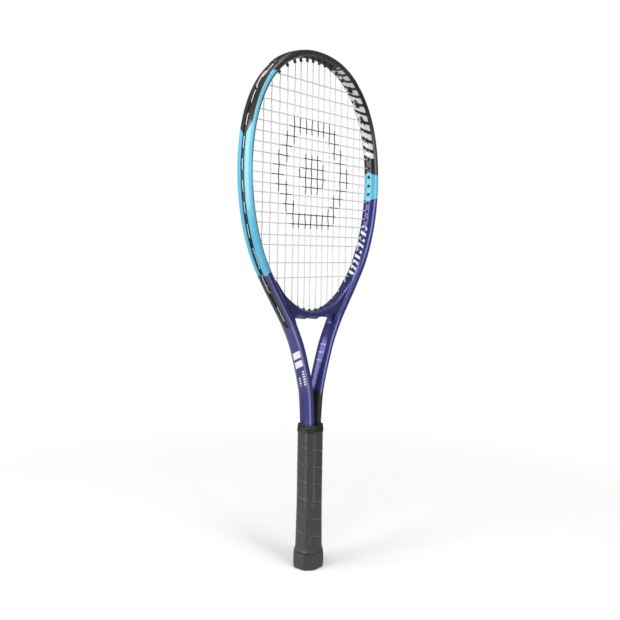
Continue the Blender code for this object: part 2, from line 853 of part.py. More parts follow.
def butt_cap(staple_rooms, cap_finish, door_finish, parts, cutters):
    """The flared cap over the plug, with a snap-in door in its end."""
    neck_top = [(z, under_tape(z)) for z in (CAP_TOP_Z, 0.0258, TAPE_BOTTOM_Z)]
    below = [
        (TAPE_BOTTOM_Z - 0.0001, grown(under_tape(TAPE_BOTTOM_Z), TAPE_THICKNESS)),
        (0.0160, grown(CAP_WIDEST, -0.0004)),
        (0.0100, CAP_WIDEST),
        (0.0055, CAP_WIDEST),
        (0.0024, grown(CAP_WIDEST, -0.0008)),
        (0.0006, grown(CAP_WIDEST, -0.0024)),
        (0.0, grown(CAP_WIDEST, -0.0042)),
    ]
    cap = octagon_solid("butt_cap", neck_top + below, parts, cap_finish)
    room = grown(PLUG_SIZE, GAP)
    levels = [(CAP_END_WALL, room), (CAP_TOP_Z + 0.002, room)]
    boolean(cap, octagon_solid("plug_room", levels, cutters), "DIFFERENCE")
    levels = [(-0.002, grown(DOOR_SIZE, GAP)), (CAP_END_WALL + 0.001, grown(DOOR_SIZE, GAP))]
    boolean(cap, octagon_solid("door_opening", levels, cutters), "DIFFERENCE")
    for side in (-1, 1):
        boolean(cap, staple_rooms[side], "DIFFERENCE")
    octagon_solid("butt_door", [(0.0, DOOR_SIZE), (0.0030, DOOR_SIZE)], parts, door_finish)


def grip_tape(finish, parts):
    """One cushioned tape wound up the handle, its ends cut to a taper so that they lie level."""
    turns = (TAPE_TOP_Z - TAPE_BOTTOM_Z) / TAPE_PITCH + 1
    rings = []
    step = 0
    while step / 8 <= turns:
        wound = step / 8
        low = max(TAPE_BOTTOM_Z, TAPE_BOTTOM_Z + TAPE_PITCH * (wound - 1))
        high = min(TAPE_TOP_Z, TAPE_BOTTOM_Z + TAPE_PITCH * wound - GAP)
        if high - low > TAPE_THIN_END:
            outside, inside = [], []
            for z in (low, low + (high - low) * TAPE_CROWN, high):
                size = grown(under_tape(z), GAP)
                inside.append(octagon(size, z)[-step % 8])
                outside.append(octagon(grown(size, TAPE_THICKNESS), z)[-step % 8])
            rings.append(inside + outside[::-1])
        step += 1
    shape = bmesh.new()
    add_loft(shape, rings)
    place("grip_tape", mesh_from("grip_tape", shape), parts, finish)


def band(name, levels, wall_inside, finish, parts, cutters):
    """A ring round the handle: levels give its outer size, wall_inside its inner sizes."""
    obj = octagon_solid(name, levels, parts, finish)
    boolean(obj, octagon_solid(name + "_room", wall_inside, cutters), "DIFFERENCE")


def handle_bands(tape_finish, collar_finish, parts, cutters):
    """The finishing tape that holds the wrap's end, and the rubber collar above it."""
    over_tape = grown(PALLET_SIZE, GAP + TAPE_THICKNESS)
    inner, outer = grown(over_tape, GAP), grown(over_tape, GAP + 0.0003)
    band(
        "finishing_tape",
        [(FINISH_BOTTOM_Z, outer), (FINISH_TOP_Z, outer)],
        [(FINISH_BOTTOM_Z - 0.01, inner), (FINISH_TOP_Z + 0.01, inner)],
        tape_finish, parts, cutters,
    )
    legs = (2 * (LEG_CENTRE_X + LEG_HALF_THICKNESS), 2 * max(d for _, d in LEG_SECTION))
    grip_room = grown(PALLET_SIZE, GAP)
    leg_room = grown(legs, 0.0011)
    band(
        "grip_collar",
        [
            (COLLAR_BOTTOM_Z, grown(over_tape, -0.0002)),
            (COLLAR_BOTTOM_Z + COLLAR_SHOULDER, grown(over_tape, -0.0006)),
            (COLLAR_TOP_Z, grown(legs, 0.0024), LEG_ROOM_FLAT),
        ],
        [
            (COLLAR_BOTTOM_Z - 0.01, grip_room),
            (PALLET_TOP_Z + GAP, grip_room),
            (PALLET_TOP_Z + 2 * GAP, leg_room, LEG_ROOM_FLAT),
            (COLLAR_TOP_Z + 0.01, leg_room, LEG_ROOM_FLAT),
        ],
        collar_finish, parts, cutters,
    )


for old in list(bpy.data.objects):
    bpy.data.objects.remove(old)

racket = collection("tennis_racket")
helpers = collection("cutters", hidden=True)
paint = material("frame_paint", (0.075, 0.075, 0.34), 0.35, 0.5)
bridge_paint = material("bridge_paint", (0.060, 0.060, 0.28), 0.35, 0.5)
black_nylon = material("grommet_nylon", (0.020, 0.020, 0.024), 0.45)
string_skin = material("string_skin", (0.80, 0.80, 0.78), 0.35)
pallet_plastic = material("pallet_plastic", (0.16, 0.15, 0.14), 0.6)
cap_plastic = material("cap_plastic", (0.035, 0.030, 0.030), 0.5)
door_plastic = material("door_plastic", (0.10, 0.10, 0.11), 0.4)
steel_wire = material("staple_steel", (0.62, 0.62, 0.64), 0.3, 1.0)
grip_skin = material("grip_skin", (0.045, 0.045, 0.047), 0.6)
vinyl = material("finishing_vinyl", (0.020, 0.020, 0.022), 0.4)
rubber = material("collar_rubber", (0.015, 0.015, 0.016), 0.55)

main_ends, cross_ends = all_passes()
every_pass = list(main_ends.values()) + list(cross_ends.values())
through_tube = [item for item in every_pass if not item.bridge]
near_bridge = [
    item for (_, index, top), item in main_ends.items() if index < GUARD_MAINS and not top
]
near_bridge += [cross_ends[side, len(CROSS_Z) - 1] for side in (-1, 1)]

frame_tube(through_tube, paint, racket, helpers)
throat_bridge(near_bridge, bridge_paint, racket, helpers)
grommet_set(main_ends, cross_ends, black_nylon, racket, helpers)
main_string(main_ends, every_pass, string_skin, racket)
cross_string(cross_ends, every_pass, string_skin, racket)
rooms = {
    side: staple(word, side, steel_wire, racket, helpers)
    for side, word in ((-1, "front"), (1, "back"))
}
pallets(rooms, pallet_plastic, racket, helpers)
butt_cap(rooms, cap_plastic, door_plastic, racket, helpers)
grip_tape(grip_skin, racket)
handle_bands(vinyl, rubber, racket, helpers)
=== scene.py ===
import math

import bmesh
import bpy
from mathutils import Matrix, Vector


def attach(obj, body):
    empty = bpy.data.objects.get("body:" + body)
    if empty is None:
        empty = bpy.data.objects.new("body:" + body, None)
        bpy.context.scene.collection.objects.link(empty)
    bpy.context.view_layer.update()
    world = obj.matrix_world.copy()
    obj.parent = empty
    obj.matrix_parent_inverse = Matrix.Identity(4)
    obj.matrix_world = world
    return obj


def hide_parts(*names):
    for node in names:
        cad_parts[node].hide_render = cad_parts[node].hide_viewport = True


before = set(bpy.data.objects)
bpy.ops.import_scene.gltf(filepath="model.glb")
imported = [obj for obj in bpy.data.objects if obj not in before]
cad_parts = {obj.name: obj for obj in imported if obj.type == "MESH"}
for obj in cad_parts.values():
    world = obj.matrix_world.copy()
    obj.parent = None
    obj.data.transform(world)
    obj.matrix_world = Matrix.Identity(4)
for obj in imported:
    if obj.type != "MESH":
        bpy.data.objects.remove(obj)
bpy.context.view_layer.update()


# ---- Frame tube -------------------------------------------------------------------------------
# One hollow hairpin of carbon and glass fibre, moulded under pressure, so that the head and both
# legs are a single tube. It is sprayed in three colours, black, sky blue and metallic indigo,
# and lacquered; the outer side has a channel that shields the strings.

tip_height = 0.685
guard_stand_off = 0.0074
head_centre_z = 0.5218
head_half_width = 0.1314
head_drop = 0.1868
head_rise = 0.1598
head_power = 2.15
leave_angle = math.radians(136.5)
leg_end_z = 0.032
handle_top_z = 0.1850
leg_centre_x = 0.0060
leg_places = [
    (0.0796, 0.3707), (0.0612, 0.3458), (0.0473, 0.3261), (0.0327, 0.3002), (0.0239, 0.2784),
    (0.0158, 0.2546), (0.0099, 0.2328), (0.0076, 0.2145), (0.0064, 0.1973),
    (leg_centre_x, handle_top_z), (leg_centre_x, leg_end_z),
]
# Across its hollow the tube is thinner at the tip, by having its outer side drawn in
tip_thinning = head_centre_z + head_rise + guard_stand_off - tip_height
tip_thin_until = 0.150
hollow_inner, hollow_outer = -0.0048, 0.0017
wall_inside = 0.00625
leg_inside = 0.00585


def rim_point(angle):
    """The head's centreline as (x, z), at an angle from the tip towards +X."""
    across, up = math.sin(angle), math.cos(angle)
    if up < 0:
        return Vector((head_half_width * across, head_centre_z + head_drop * up))
    across, up = across ** (2 / head_power), up ** (2 / head_power)
    return Vector((head_half_width * across, head_centre_z + head_rise * up))


def rim_normal(angle):
    x, z = rim_point(angle) - Vector((0, head_centre_z))
    if z < 0:
        return Vector((x / head_half_width**2, z / head_drop**2)).normalized()
    across = x ** (head_power - 1) / head_half_width**head_power
    return Vector((across, z ** (head_power - 1) / head_rise**head_power)).normalized()


def rim_inside(angle):
    return rim_point(angle) - wall_inside * rim_normal(angle)


def curve_through(points, per_span):
    """A smooth curve through the points, from the second one's span on."""
    ends = [2 * points[0] - points[1]] + points + [2 * points[-1] - points[-2]]
    made = []
    for a, b, c, d in zip(ends, ends[1:], ends[2:], ends[3:]):
        for step in range(1, per_span + 1):
            t = step / per_span
            made.append(
                (2 * b + (c - a) * t + (2 * a - 5 * b + 4 * c - d) * t**2
                 + (3 * b - a - 3 * c + d) * t**3) / 2
            )
    return made


rim_steps = 400
route = [rim_point(leave_angle * step / rim_steps) for step in range(rim_steps + 1)]
route += curve_through([route[-1]] + [Vector(place) for place in leg_places], 24)
route_lengths = [0.0]
for start, end in zip(route, route[1:]):
    route_lengths.append(route_lengths[-1] + (end - start).length)
route_end = route_lengths[-1]


def route_at(length):
    """The tube's centre and outward normal at a length from the tip, on the right side."""
    low, high = 1, len(route) - 1
    while low < high:
        middle = (low + high) // 2
        if route_lengths[middle] < length:
            low = middle + 1
        else:
            high = middle
    start, end = route[low - 1], route[low]
    share = (length - route_lengths[low - 1]) / (end - start).length
    along = route[min(low + 3, len(route) - 1)] - route[max(low - 4, 0)]
    # At the very tip the tube runs straight across
    if length < 0.003:
        along = Vector((1, -length * 2))
    along.normalize()
    return start.lerp(end, share), Vector((-along.y, along.x))


def thinning(length):
    share = min(length / tip_thin_until, 1.0)
    return tip_thinning * (1 + math.cos(share * math.pi)) / 2


def route_length_at(height):
    """The length at which the tube comes down to the height."""
    return next(
        length for point, length in zip(route, route_lengths)
        if length > 0.2 and point.y <= height
    )


def spread(start, end, step):
    """Evenly spaced values from start to end, about a step apart."""
    count = max(1, round(abs(end - start) / step))
    return [start + (end - start) * index / count for index in range(count + 1)]


def eased(corners, cuts, steps=4):
    """A closed outline with each corner replaced by a short curve that starts a cut away."""
    made = []
    for index, (corner, cut) in enumerate(zip(corners, cuts)):
        before, after = corners[index - 1], corners[(index + 1) % len(corners)]
        start = corner.lerp(before, min(cut / (before - corner).length, 0.47))
        end = corner.lerp(after, min(cut / (after - corner).length, 0.47))
        for step in range(steps + 1):
            t = step / steps
            made.append(start.lerp(corner, t).lerp(corner.lerp(end, t), t))
    return made


def skin(shape, rings, closed=False, notes=None):
    """Faces between neighbouring closed rings; the ends are capped unless the row closes."""
    layers = {}
    for name in notes or {}:
        layers[name] = shape.verts.layers.float.get(name) or shape.verts.layers.float.new(name)
    rows = []
    for number, ring in enumerate(rings):
        row = [shape.verts.new(point) for point in ring]
        for name, layer in layers.items():
            for vert, value in zip(row, notes[name][number]):
                vert[layer] = value
        rows.append(row)
    pairs = list(zip(rows, rows[1:])) + ([(rows[-1], rows[0])] if closed else [])
    for row, following in pairs:
        for index, vert in enumerate(row):
            shape.faces.new((row[index - 1], vert, following[index], following[index - 1]))
    if not closed:
        shape.faces.new(rows[0])
        shape.faces.new(rows[-1])


def solid(name, shape, finish, crease=40.0):
    """The finished object of a shape, smooth apart from its sharp edges."""
    bmesh.ops.recalc_face_normals(shape, faces=shape.faces)
    mesh = bpy.data.meshes.new(name)
    shape.to_mesh(mesh)
    shape.free()
    mesh.shade_smooth()
    mesh.set_sharp_from_angle(angle=math.radians(crease))
    mesh.materials.append(finish.material)
    made = bpy.data.objects.new(name, mesh)
    bpy.context.scene.collection.objects.link(made)
    return made


class Wire:
    """A number on its way through a finish; arithmetic on it adds the Math nodes."""

    def __init__(self, finish, socket):
        self.finish = finish
        self.socket = socket

    def math(self, operation, *values, clamp=False):
        settings = {"operation": operation, "use_clamp": clamp}
        return self.finish.node("ShaderNodeMath", settings, dict(enumerate(values)))

    def __add__(self, other):
        return self.math("ADD", self, other)

    def __radd__(self, other):
        return self.math("ADD", other, self)

    def __sub__(self, other):
        return self.math("SUBTRACT", self, other)

    def __rsub__(self, other):
        return self.math("SUBTRACT", other, self)

    def __mul__(self, other):
        return self.math("MULTIPLY", self, other)

    def __rmul__(self, other):
        return self.math("MULTIPLY", other, self)

    def __gt__(self, other):
        return self.math("GREATER_THAN", self, other)

    def __lt__(self, other):
        return self.math("LESS_THAN", self, other)

    def __mod__(self, other):
        return self.math("FLOORED_MODULO", self, other)

    def __abs__(self):
        return self.math("ABSOLUTE", self)

    def rise(self, low, high):
        """0 below low, 1 above high, and a straight rise between them."""
        return self.math("MULTIPLY", self - low, 1 / (high - low), clamp=True)

    def within(self, low, high, edge):
        """1 between low and high, with both edges that soft."""
        return self.rise(low - edge / 2, low + edge / 2) * (1 - self.rise(high - edge / 2, high + edge / 2))


class Finish:
    """A material made of nodes, with the constants of its shader given by socket name."""

    def __init__(self, name, **constants):
        self.material = bpy.data.materials.new(name)
        self.material.use_nodes = True
        self.tree = self.material.node_tree
        self.shader = self.tree.nodes["Principled BSDF"]
        for socket, value in constants.items():
            self.shader.inputs[socket.replace("_", " ")].default_value = value

    def node(self, kind, settings, sockets, out=0):
        """Any node: its settings first, then the value or link of each socket."""
        made = self.tree.nodes.new(kind)
        for name, value in settings.items():
            setattr(made, name, value)
        for name, value in sockets.items():
            if isinstance(value, Wire):
                self.tree.links.new(value.socket, made.inputs[name])
            else:
                made.inputs[name].default_value = value
        return Wire(self, made.outputs[out])

    def mix(self, share, under, over):
        """Colour over on colour under, by share."""
        return self.node("ShaderNodeMix", {"data_type": "RGBA"}, {0: share, 6: under, 7: over}, out=2)

    def place(self):
        """The object's own coordinates, whose axes are the racket's."""
        return self.node("ShaderNodeTexCoord", {}, {}, out="Object")

    def axes(self):
        split = self.node("ShaderNodeSeparateXYZ", {}, {0: self.place()})
        return [Wire(self, split.socket.node.outputs[index]) for index in range(3)]

    def noted(self, name):
        """A number that the mesh carries at each point."""
        return self.node("ShaderNodeAttribute", {"attribute_name": name}, {}, out="Fac")

    def noise(self, scale, detail=2.0, roughness=0.5):
        sockets = {"Vector": self.place(), "Scale": scale, "Detail": detail, "Roughness": roughness}
        return self.node("ShaderNodeTexNoise", {}, sockets)

    def feed(self, **links):
        """Links into the shader, by socket name."""
        for socket, wire in links.items():
            self.tree.links.new(wire.socket, self.shader.inputs[socket.replace("_", " ")])

    def relief(self, height, distance, strength=1.0):
        """Bumps in the surface from a height between 0 and 1, that many metres deep."""
        sockets = {"Height": height, "Distance": distance, "Strength": strength}
        self.feed(Normal=self.node("ShaderNodeBump", {}, sockets))


# Half sections as (outward, depth), from the channel's floor round to the inner wall, and how
# far each corner's rounding reaches
hoop_half = [
    (0.0032, 0.0029), (0.0060, 0.0033), (0.0045, 0.0098),
    (0.0004, 0.0115), (-0.0042, 0.0087), (-wall_inside, 0.0040),
]
leg_half = [
    (0.0058, 0.0004), (0.0058, 0.0012), (0.0040, 0.0105),
    (0.0003, 0.0122), (-0.0039, 0.0097), (-leg_inside, 0.0044),
]
hoop_cuts = [0.0006, 0.0006, 0.0007, 0.0013, 0.0022, 0.0024]
leg_cuts = [0.0004, 0.0042, 0.0018, 0.0016, 0.0022, 0.0024]
channel_end = route_length_at(0.3275) + 0.0030
channel_round = 0.0034
section_change = 0.0200


def whole(half):
    """The full outline from the half given for +Y."""
    return half + [(outward, -depth) for outward, depth in reversed(half)]


def tube_half(length):
    share = min(max((length - channel_end) / section_change + 1.0, 0.0), 1.0)
    half = [
        (a + (c - a) * share, b + (d - b) * share)
        for (a, b), (c, d) in zip(hoop_half, leg_half)
    ]
    cuts = [a + (b - a) * share for a, b in zip(hoop_cuts, leg_cuts)]
    into_end = (length - channel_end) / channel_round + 1.0
    if into_end < 1.0:
        width = math.sqrt(1.0 - max(into_end, 0.0) ** 2)
        half[0] = (hoop_half[0][0], hoop_half[0][1] * width + 0.00002)
        half[1] = (hoop_half[1][0], hoop_half[1][1] * width + 0.00004)
    else:
        half[0] = leg_half[0]
    return half, cuts


def on_tube(length, side, outward, depth):
    centre, normal = route_at(length)
    share = min(max((outward - hollow_inner) / (hollow_outer - hollow_inner), 0.0), 1.0)
    flat = centre + (outward - thinning(length) * share) * normal
    return Vector((side * flat.x, depth, flat.y))


def tube_ring(length, side, half, cuts):
    outline = eased([Vector(corner) for corner in whole(half)], cuts + cuts[::-1])
    return [on_tube(length, side, *point) for point in outline], [point.x for point in outline]


tube_lengths = (
    spread(0.0, channel_end - channel_round, 0.0025)
    + spread(channel_end - channel_round, channel_end, 0.0003)[1:]
    + spread(channel_end + 0.0001, route_length_at(handle_top_z), 0.0025)
    + spread(route_length_at(handle_top_z), route_end, 0.0200)[1:]
)
rings, outward_notes, length_notes = [], [], []
for side, lengths in ((-1, tube_lengths[::-1]), (1, tube_lengths[1:])):
    for length in lengths:
        ring, outwards = tube_ring(length, side, *tube_half(length))
        rings.append(ring)
        outward_notes.append(outwards)
        length_notes.append([length] * len(ring))
shape = bmesh.new()
skin(shape, rings, notes={"outward": outward_notes, "along": length_notes})

lacquer = Finish("frame_lacquer", Coat_Weight=0.5, Coat_Roughness=0.09, IOR=1.5)
across, depth, height = lacquer.axes()
along, outward = lacquer.noted("along"), lacquer.noted("outward")
to_side = lacquer.node("ShaderNodeMath", {"operation": "SIGN"}, {0: across})
away = abs(depth)
# The paint has the symmetry of half a turn about the racket's axis: hand is 1 on the left side's
# front and on the right side's back
hand = (depth * to_side) > 0.0
outer_face = outward.rise(0.00445, 0.00450)
inner_side = 1 - outward.rise(0.00035, 0.00040)
bevel = (1 - outer_face) * (1 - inner_side)

outer_start = 0.1937 - (away - 0.0033) * (hand * 1.25 + 1.09)
bevel_start = 0.2225 - hand * 0.1197 + (outward - 0.0025) * 0.9
inner_start = 0.2171 + away * 0.45
outer_stop = 0.3700 - away * 0.12
bevel_stop = 0.2557 + hand * 0.1114
inner_stop = 0.2613 - away * 0.50
blue_start = outer_face * outer_start + bevel * bevel_start + inner_side * inner_start
blue_stop = outer_face * outer_stop + bevel * bevel_stop + inner_side * inner_stop
edge = 0.0003
past_start = (along - blue_start).rise(-edge, edge)
past_stop = (along - blue_stop).rise(-edge, edge)
between_legs = inner_side + bevel * (1 - hand)
between_legs = between_legs * (0.2360 - abs(across) * 0.45 - height).rise(-edge, edge)
# The channel is black, and so is the tube on both sides of it towards its lower end
band_end = channel_end + 0.0012
band_half = 0.0031 + along.rise(0.3705, 0.3840) * 0.0029
past_round = (along - band_end + band_half).rise(0.0, 0.0060)
in_channel = (band_half - away - past_round * past_round * band_half).rise(-0.0001, 0.0001)
in_channel = in_channel * outer_face * (along < band_end)

flake = lacquer.noise(5200.0, detail=1.0)
cloud = lacquer.noise(18.0, detail=3.0)
black_coat = lacquer.mix(cloud, (0.006, 0.006, 0.008, 1), (0.011, 0.011, 0.014, 1))
blue_coat = lacquer.mix(cloud, (0.085, 0.49, 0.70, 1), (0.115, 0.55, 0.76, 1))
indigo_coat = lacquer.mix(flake.rise(0.35, 0.75), (0.026, 0.026, 0.150, 1), (0.075, 0.075, 0.310, 1))
colour = lacquer.mix(past_start, black_coat, blue_coat)
colour = lacquer.mix(past_stop, colour, indigo_coat)
# Painted highlight: a fine light line drawn along the sharp ridge beside the outer face
painted_ridge_highlight = outward.within(0.0040, 0.0046, 0.0004) * past_start * 0.45
colour = lacquer.mix(painted_ridge_highlight, colour, (0.42, 0.42, 0.74, 1))
colour = lacquer.mix(between_legs, colour, black_coat)
colour = lacquer.mix(in_channel, colour, (0.005, 0.005, 0.007, 1))

# Printed in plain white: wide slanted bars inside the head near the tip, narrower ones lower
# down, two blocks with short rows beside them on each leg, and fine lines inside the legs
white_ink = (0.80, 0.80, 0.86, 1)
ink_edge, fine_edge = 0.0006, 0.0004
on_inside = (1 - outward.rise(-0.0030, -0.0026)) * (away < 0.0100)
lean = along + depth * to_side * 0.55
wide_bars = (lean % 0.0142).within(0.0008, 0.0098, ink_edge)
wide_bars = wide_bars * along.within(0.0400, 0.1970, ink_edge)
wide_bars = wide_bars * (depth * to_side).within(-0.0086, 0.0078, ink_edge)
slots = ((lean + 0.0071) % 0.0284).within(0.0010, 0.0105, ink_edge)
slots = slots * away.within(0.0012, 0.0034, ink_edge)
narrow_bars = (lean % 0.0093).within(0.0008, 0.0052, ink_edge)
narrow_bars = narrow_bars * along.within(0.2980, 0.3780, ink_edge)
narrow_bars = narrow_bars * away.within(-0.001, 0.0052, ink_edge)
printed = on_inside * (wide_bars * (1 - slots) + narrow_bars)

leg_depth = depth * to_side * -1
leg_lean = height + leg_depth * 0.45
blocks = leg_lean.within(0.2790, 0.2880, 0.0005) + leg_lean.within(0.2672, 0.2756, 0.0005)
blocks = blocks * leg_depth.within(-0.0070, 0.0064, 0.0005)
dashes = (leg_lean % 0.0034).within(0.0006, 0.0025, fine_edge)
long_row = dashes * leg_lean.within(0.2402, 0.2620, fine_edge)
long_row = long_row * leg_depth.within(-0.0068, -0.0034, fine_edge)
short_row = dashes * leg_lean.within(0.2430, 0.2552, fine_edge)
short_row = short_row * leg_depth.within(0.0008, 0.0040, fine_edge)
fine_lines = ((height - 0.2728) % 0.0104).within(0.0, 0.0011, fine_edge)
fine_lines = fine_lines * height.within(0.2720, 0.2950, fine_edge)
fine_lines = fine_lines * inner_side * away.within(-0.001, 0.0046, fine_edge) * 0.45
leg_marks = outer_face * (blocks + long_row + short_row) + fine_lines
ink = (printed + leg_marks).rise(0.0, 1.0)
colour = lacquer.mix(ink, colour, white_ink)

scuffs = lacquer.noise(70.0, detail=6.0, roughness=0.7).rise(0.50, 0.80)
solid_colour = 1 - past_stop * (1 - between_legs)
lacquer.feed(
    Base_Color=colour,
    Roughness=0.27 + 0.10 * scuffs + 0.08 * solid_colour,
    Metallic=0.55 * past_stop * (1 - between_legs) * (1 - ink) * (1 - in_channel),
)
lacquer.relief(lacquer.noise(420.0, detail=1.0), 0.00002, strength=0.25)
tube = solid("painted_frame_tube", shape, lacquer, crease=60.0)
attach(tube, "root")
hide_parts("frame_tube")


# ---- Throat bridge ----------------------------------------------------------------------------
# The yoke that closes the head across the throat: a foam core with a composite skin, moulded
# onto the two legs before painting. Three hoods under it shield the loops of the middle
# strings, and its feet end in a seam on each leg.

bridge_low_z = 0.3322
bridge_arch = 0.0030
bridge_corner_x = 0.0380
foot_z = 0.3190
foot_thickness = 0.0014
hood_centres = (-0.0244, 0.0, 0.0244)
hood_half_width = 0.0074
hood_drop = 0.0022


def angle_where(value, low, high):
    """The angle at which value(angle) is zero, by halving."""
    rising = value(high) > value(low)
    for _ in range(50):
        middle = (low + high) / 2
        if (value(middle) > 0) == rising:
            high = middle
        else:
            low = middle
    return (low + high) / 2


def bridge_underside(x):
    return bridge_low_z + bridge_arch * (x / bridge_corner_x) ** 2


def hooded(x):
    drop = 0.0
    for centre in hood_centres:
        share = abs(x - centre) / hood_half_width
        if share < 1:
            drop = hood_drop * math.cos(share * math.pi / 2) ** 2
    return bridge_underside(x) - drop


# Lines from the head's inside to the underside, then on to the foot's face along the leg
lines = []
last_x = bridge_corner_x - 0.0045
for x in spread(0.0, last_x, 0.0009):
    angle = angle_where(lambda a: rim_inside(a).x - x, math.pi, math.pi / 2)
    lines.append((rim_inside(angle), Vector((x, hooded(x))), 0.0))
last_angle = angle_where(lambda a: rim_inside(a).x - last_x, math.pi, math.pi / 2)
top_angle = math.radians(139.0)
foot_from, foot_to = route_length_at(bridge_low_z - 0.0045), route_length_at(foot_z)
corner_steps = 10
for step in range(1, corner_steps + 1):
    share = step / corner_steps
    centre, normal = route_at(foot_from)
    foot_start = centre - (leg_inside + foot_thickness) * normal
    corner = Vector((bridge_corner_x - 0.0004, bridge_underside(bridge_corner_x) - 0.0003))
    start = Vector((last_x, hooded(last_x)))
    low = start.lerp(corner, share).lerp(corner.lerp(foot_start, share), share)
    angle = last_angle + (top_angle - last_angle) * share * 0.6
    lines.append((rim_inside(angle), low, share))
foot_steps = 12
for step in range(1, foot_steps + 1):
    share = step / foot_steps
    centre, normal = route_at(foot_from + (foot_to - foot_from) * share)
    proud = foot_thickness * (1 - 0.72 * share)
    low = centre - (leg_inside + proud) * normal
    angle = last_angle + (top_angle - last_angle) * (0.6 + 0.4 * share)
    lines.append((rim_inside(angle), low, 1.0))
centre, normal = route_at(foot_to + 0.0004)
lines.append((rim_inside(top_angle), centre - (leg_inside + 0.0002) * normal, 1.0))


def bridge_ring(top, low, side, foot):
    """The closed section on a line from the head's inside at top to the lower face at low."""
    down = low - top
    reach = down.length
    down = down / reach

    def at(share_a, share_b):
        (wa, da), (wb, db) = share_a, share_b
        return wa + (wb - wa) * foot, da + (db - da) * foot

    half = [
        at((0.0, 0.0040), (0.0, 0.0030)), at((0.00205, 0.0087), (0.00205, 0.0064)),
        at((0.0056, 0.0108), (0.0064, 0.0078)),
        at((reach - 0.0020, 0.0092), (reach - 0.0062, 0.0078)),
        at((reach - 0.0002, 0.0074), (reach - 0.0026, 0.0068)),
        at((reach, 0.0058), (reach, 0.0036)),
    ]
    cuts = [0.0022, 0.0020, 0.0018, 0.0014, 0.0010, 0.0008]
    points = eased([Vector(corner) for corner in whole(half)], cuts + cuts[::-1])
    return [
        Vector((side * (top + down * p.x).x, p.y, (top + down * p.x).y)) for p in points
    ]


rings = [bridge_ring(top, low, -1, foot) for top, low, foot in lines[::-1]]
rings += [bridge_ring(top, low, 1, foot) for top, low, foot in lines[1:]]
shape = bmesh.new()
skin(shape, rings)

bridge_lacquer = Finish("bridge_lacquer", Coat_Weight=0.5, Coat_Roughness=0.10, IOR=1.5)
flake = bridge_lacquer.noise(5200.0, detail=1.0)
cloud = bridge_lacquer.noise(24.0, detail=3.0)
colour = bridge_lacquer.mix(flake.rise(0.35, 0.75), (0.026, 0.026, 0.150, 1), (0.075, 0.075, 0.310, 1))
bridge_lacquer.feed(
    Base_Color=bridge_lacquer.mix(cloud * 0.25, colour, (0.016, 0.016, 0.090, 1)),
    Roughness=0.28 + 0.08 * cloud,
    Metallic=0.50 + 0.10 * flake,
)
bridge_lacquer.relief(bridge_lacquer.noise(420.0, detail=1.0), 0.00002, strength=0.25)
bridge = solid("painted_throat_bridge", shape, bridge_lacquer, crease=50.0)
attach(bridge, "root")
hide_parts("throat_bridge")


# ---- Grommet strips and bumper guard ----------------------------------------------------------
# Injection-moulded nylon strips pressed into the channel from outside, with a barrel for each
# string hole that ends just inside the head. The one over the tip is also a bumper, whose
# flanges stand proud of the tube on both sides of the strings.

string_radius = 0.00065
string_in_channel = 0.00525
gap = 0.0003
main_places = [0.0063, 0.0181, 0.0308, 0.0425, 0.0566, 0.0715, 0.0867, 0.1011]
cross_places = [
    0.6435, 0.6261, 0.6088, 0.5945, 0.5812, 0.5681, 0.5547, 0.5420, 0.5294, 0.5170,
    0.5047, 0.4928, 0.4803, 0.4681, 0.4554, 0.4405, 0.4280, 0.4052, 0.3859,
]
guard_mains, bridge_mains = 6, 3
long_reach, short_reach = 0.0050, 0.0022
string_bend = 0.0010
groove_depth = 0.0025
strip_low, strip_high, strip_half = 0.0033, 0.0043, 0.0025
string_in_groove = groove_depth - gap - (0.0043 - 0.0035) - gap - string_radius


def nearest_on_route(point):
    """The length along the tube next to a point outside, and how far out in its section."""
    index = min(range(len(route)), key=lambda i: (route[i] - point).length_squared)
    centre, normal = route_at(route_lengths[index])
    along = Vector((normal.y, -normal.x))
    length = route_lengths[index] + (point - centre).dot(along)
    return length, (point - centre).dot(normal) + thinning(length)


class Hole:
    """A string's way through the rim: square to it, or straight down through the bridge."""

    def __init__(self, angle, side, reach, bridge=False):
        self.side, self.reach, self.bridge = side, reach, bridge
        self.mouth = rim_inside(angle)
        self.way = Vector((0, -1)) if bridge else rim_normal(angle)
        if bridge:
            self.travel = self.mouth.y - bridge_underside(self.mouth.x) - string_in_groove
        else:
            travel = wall_inside + string_in_channel
            for _ in range(4):
                travel += string_in_channel - nearest_on_route(self.mouth + travel * self.way)[1]
            self.travel = travel
        self.length = nearest_on_route(self.mouth + self.travel * self.way)[0]

    def point(self, travel):
        flat = self.mouth + travel * self.way
        return Vector((self.side * flat.x, 0.0, flat.y))

    def inner_end(self):
        return self.point(-self.reach - string_bend)

    def corner(self):
        return self.point(self.travel)


near_tip = 0.001


def bend_point(angle, reach):
    return rim_inside(angle) - (reach + string_bend) * rim_normal(angle)


def main_hole(index, side, top):
    x = main_places[index]
    if index < bridge_mains and not top:
        angle = angle_where(lambda a: rim_inside(a).x - x, math.pi, math.pi / 2)
        return Hole(angle, side, short_reach, bridge=True)
    reach = long_reach if top and index < guard_mains else short_reach
    end = near_tip if top else math.pi
    angle = angle_where(lambda a: bend_point(a, reach).x - x, end, math.pi / 2)
    return Hole(angle, side, reach)


def cross_hole(index, side):
    z = cross_places[index]
    angle = angle_where(lambda a: bend_point(a, short_reach).y - z, near_tip, math.pi)
    return Hole(angle, side, short_reach)


main_holes = {
    (side, index, top): main_hole(index, side, top)
    for side in (-1, 1) for index in range(len(main_places)) for top in (True, False)
}
cross_holes = {
    (side, index): cross_hole(index, side) for side in (-1, 1) for index in range(len(cross_places))
}
all_holes = list(main_holes.values()) + list(cross_holes.values())

barrel_radius, barrel_bore = 0.0019, 0.0010
barrel_sides = 16


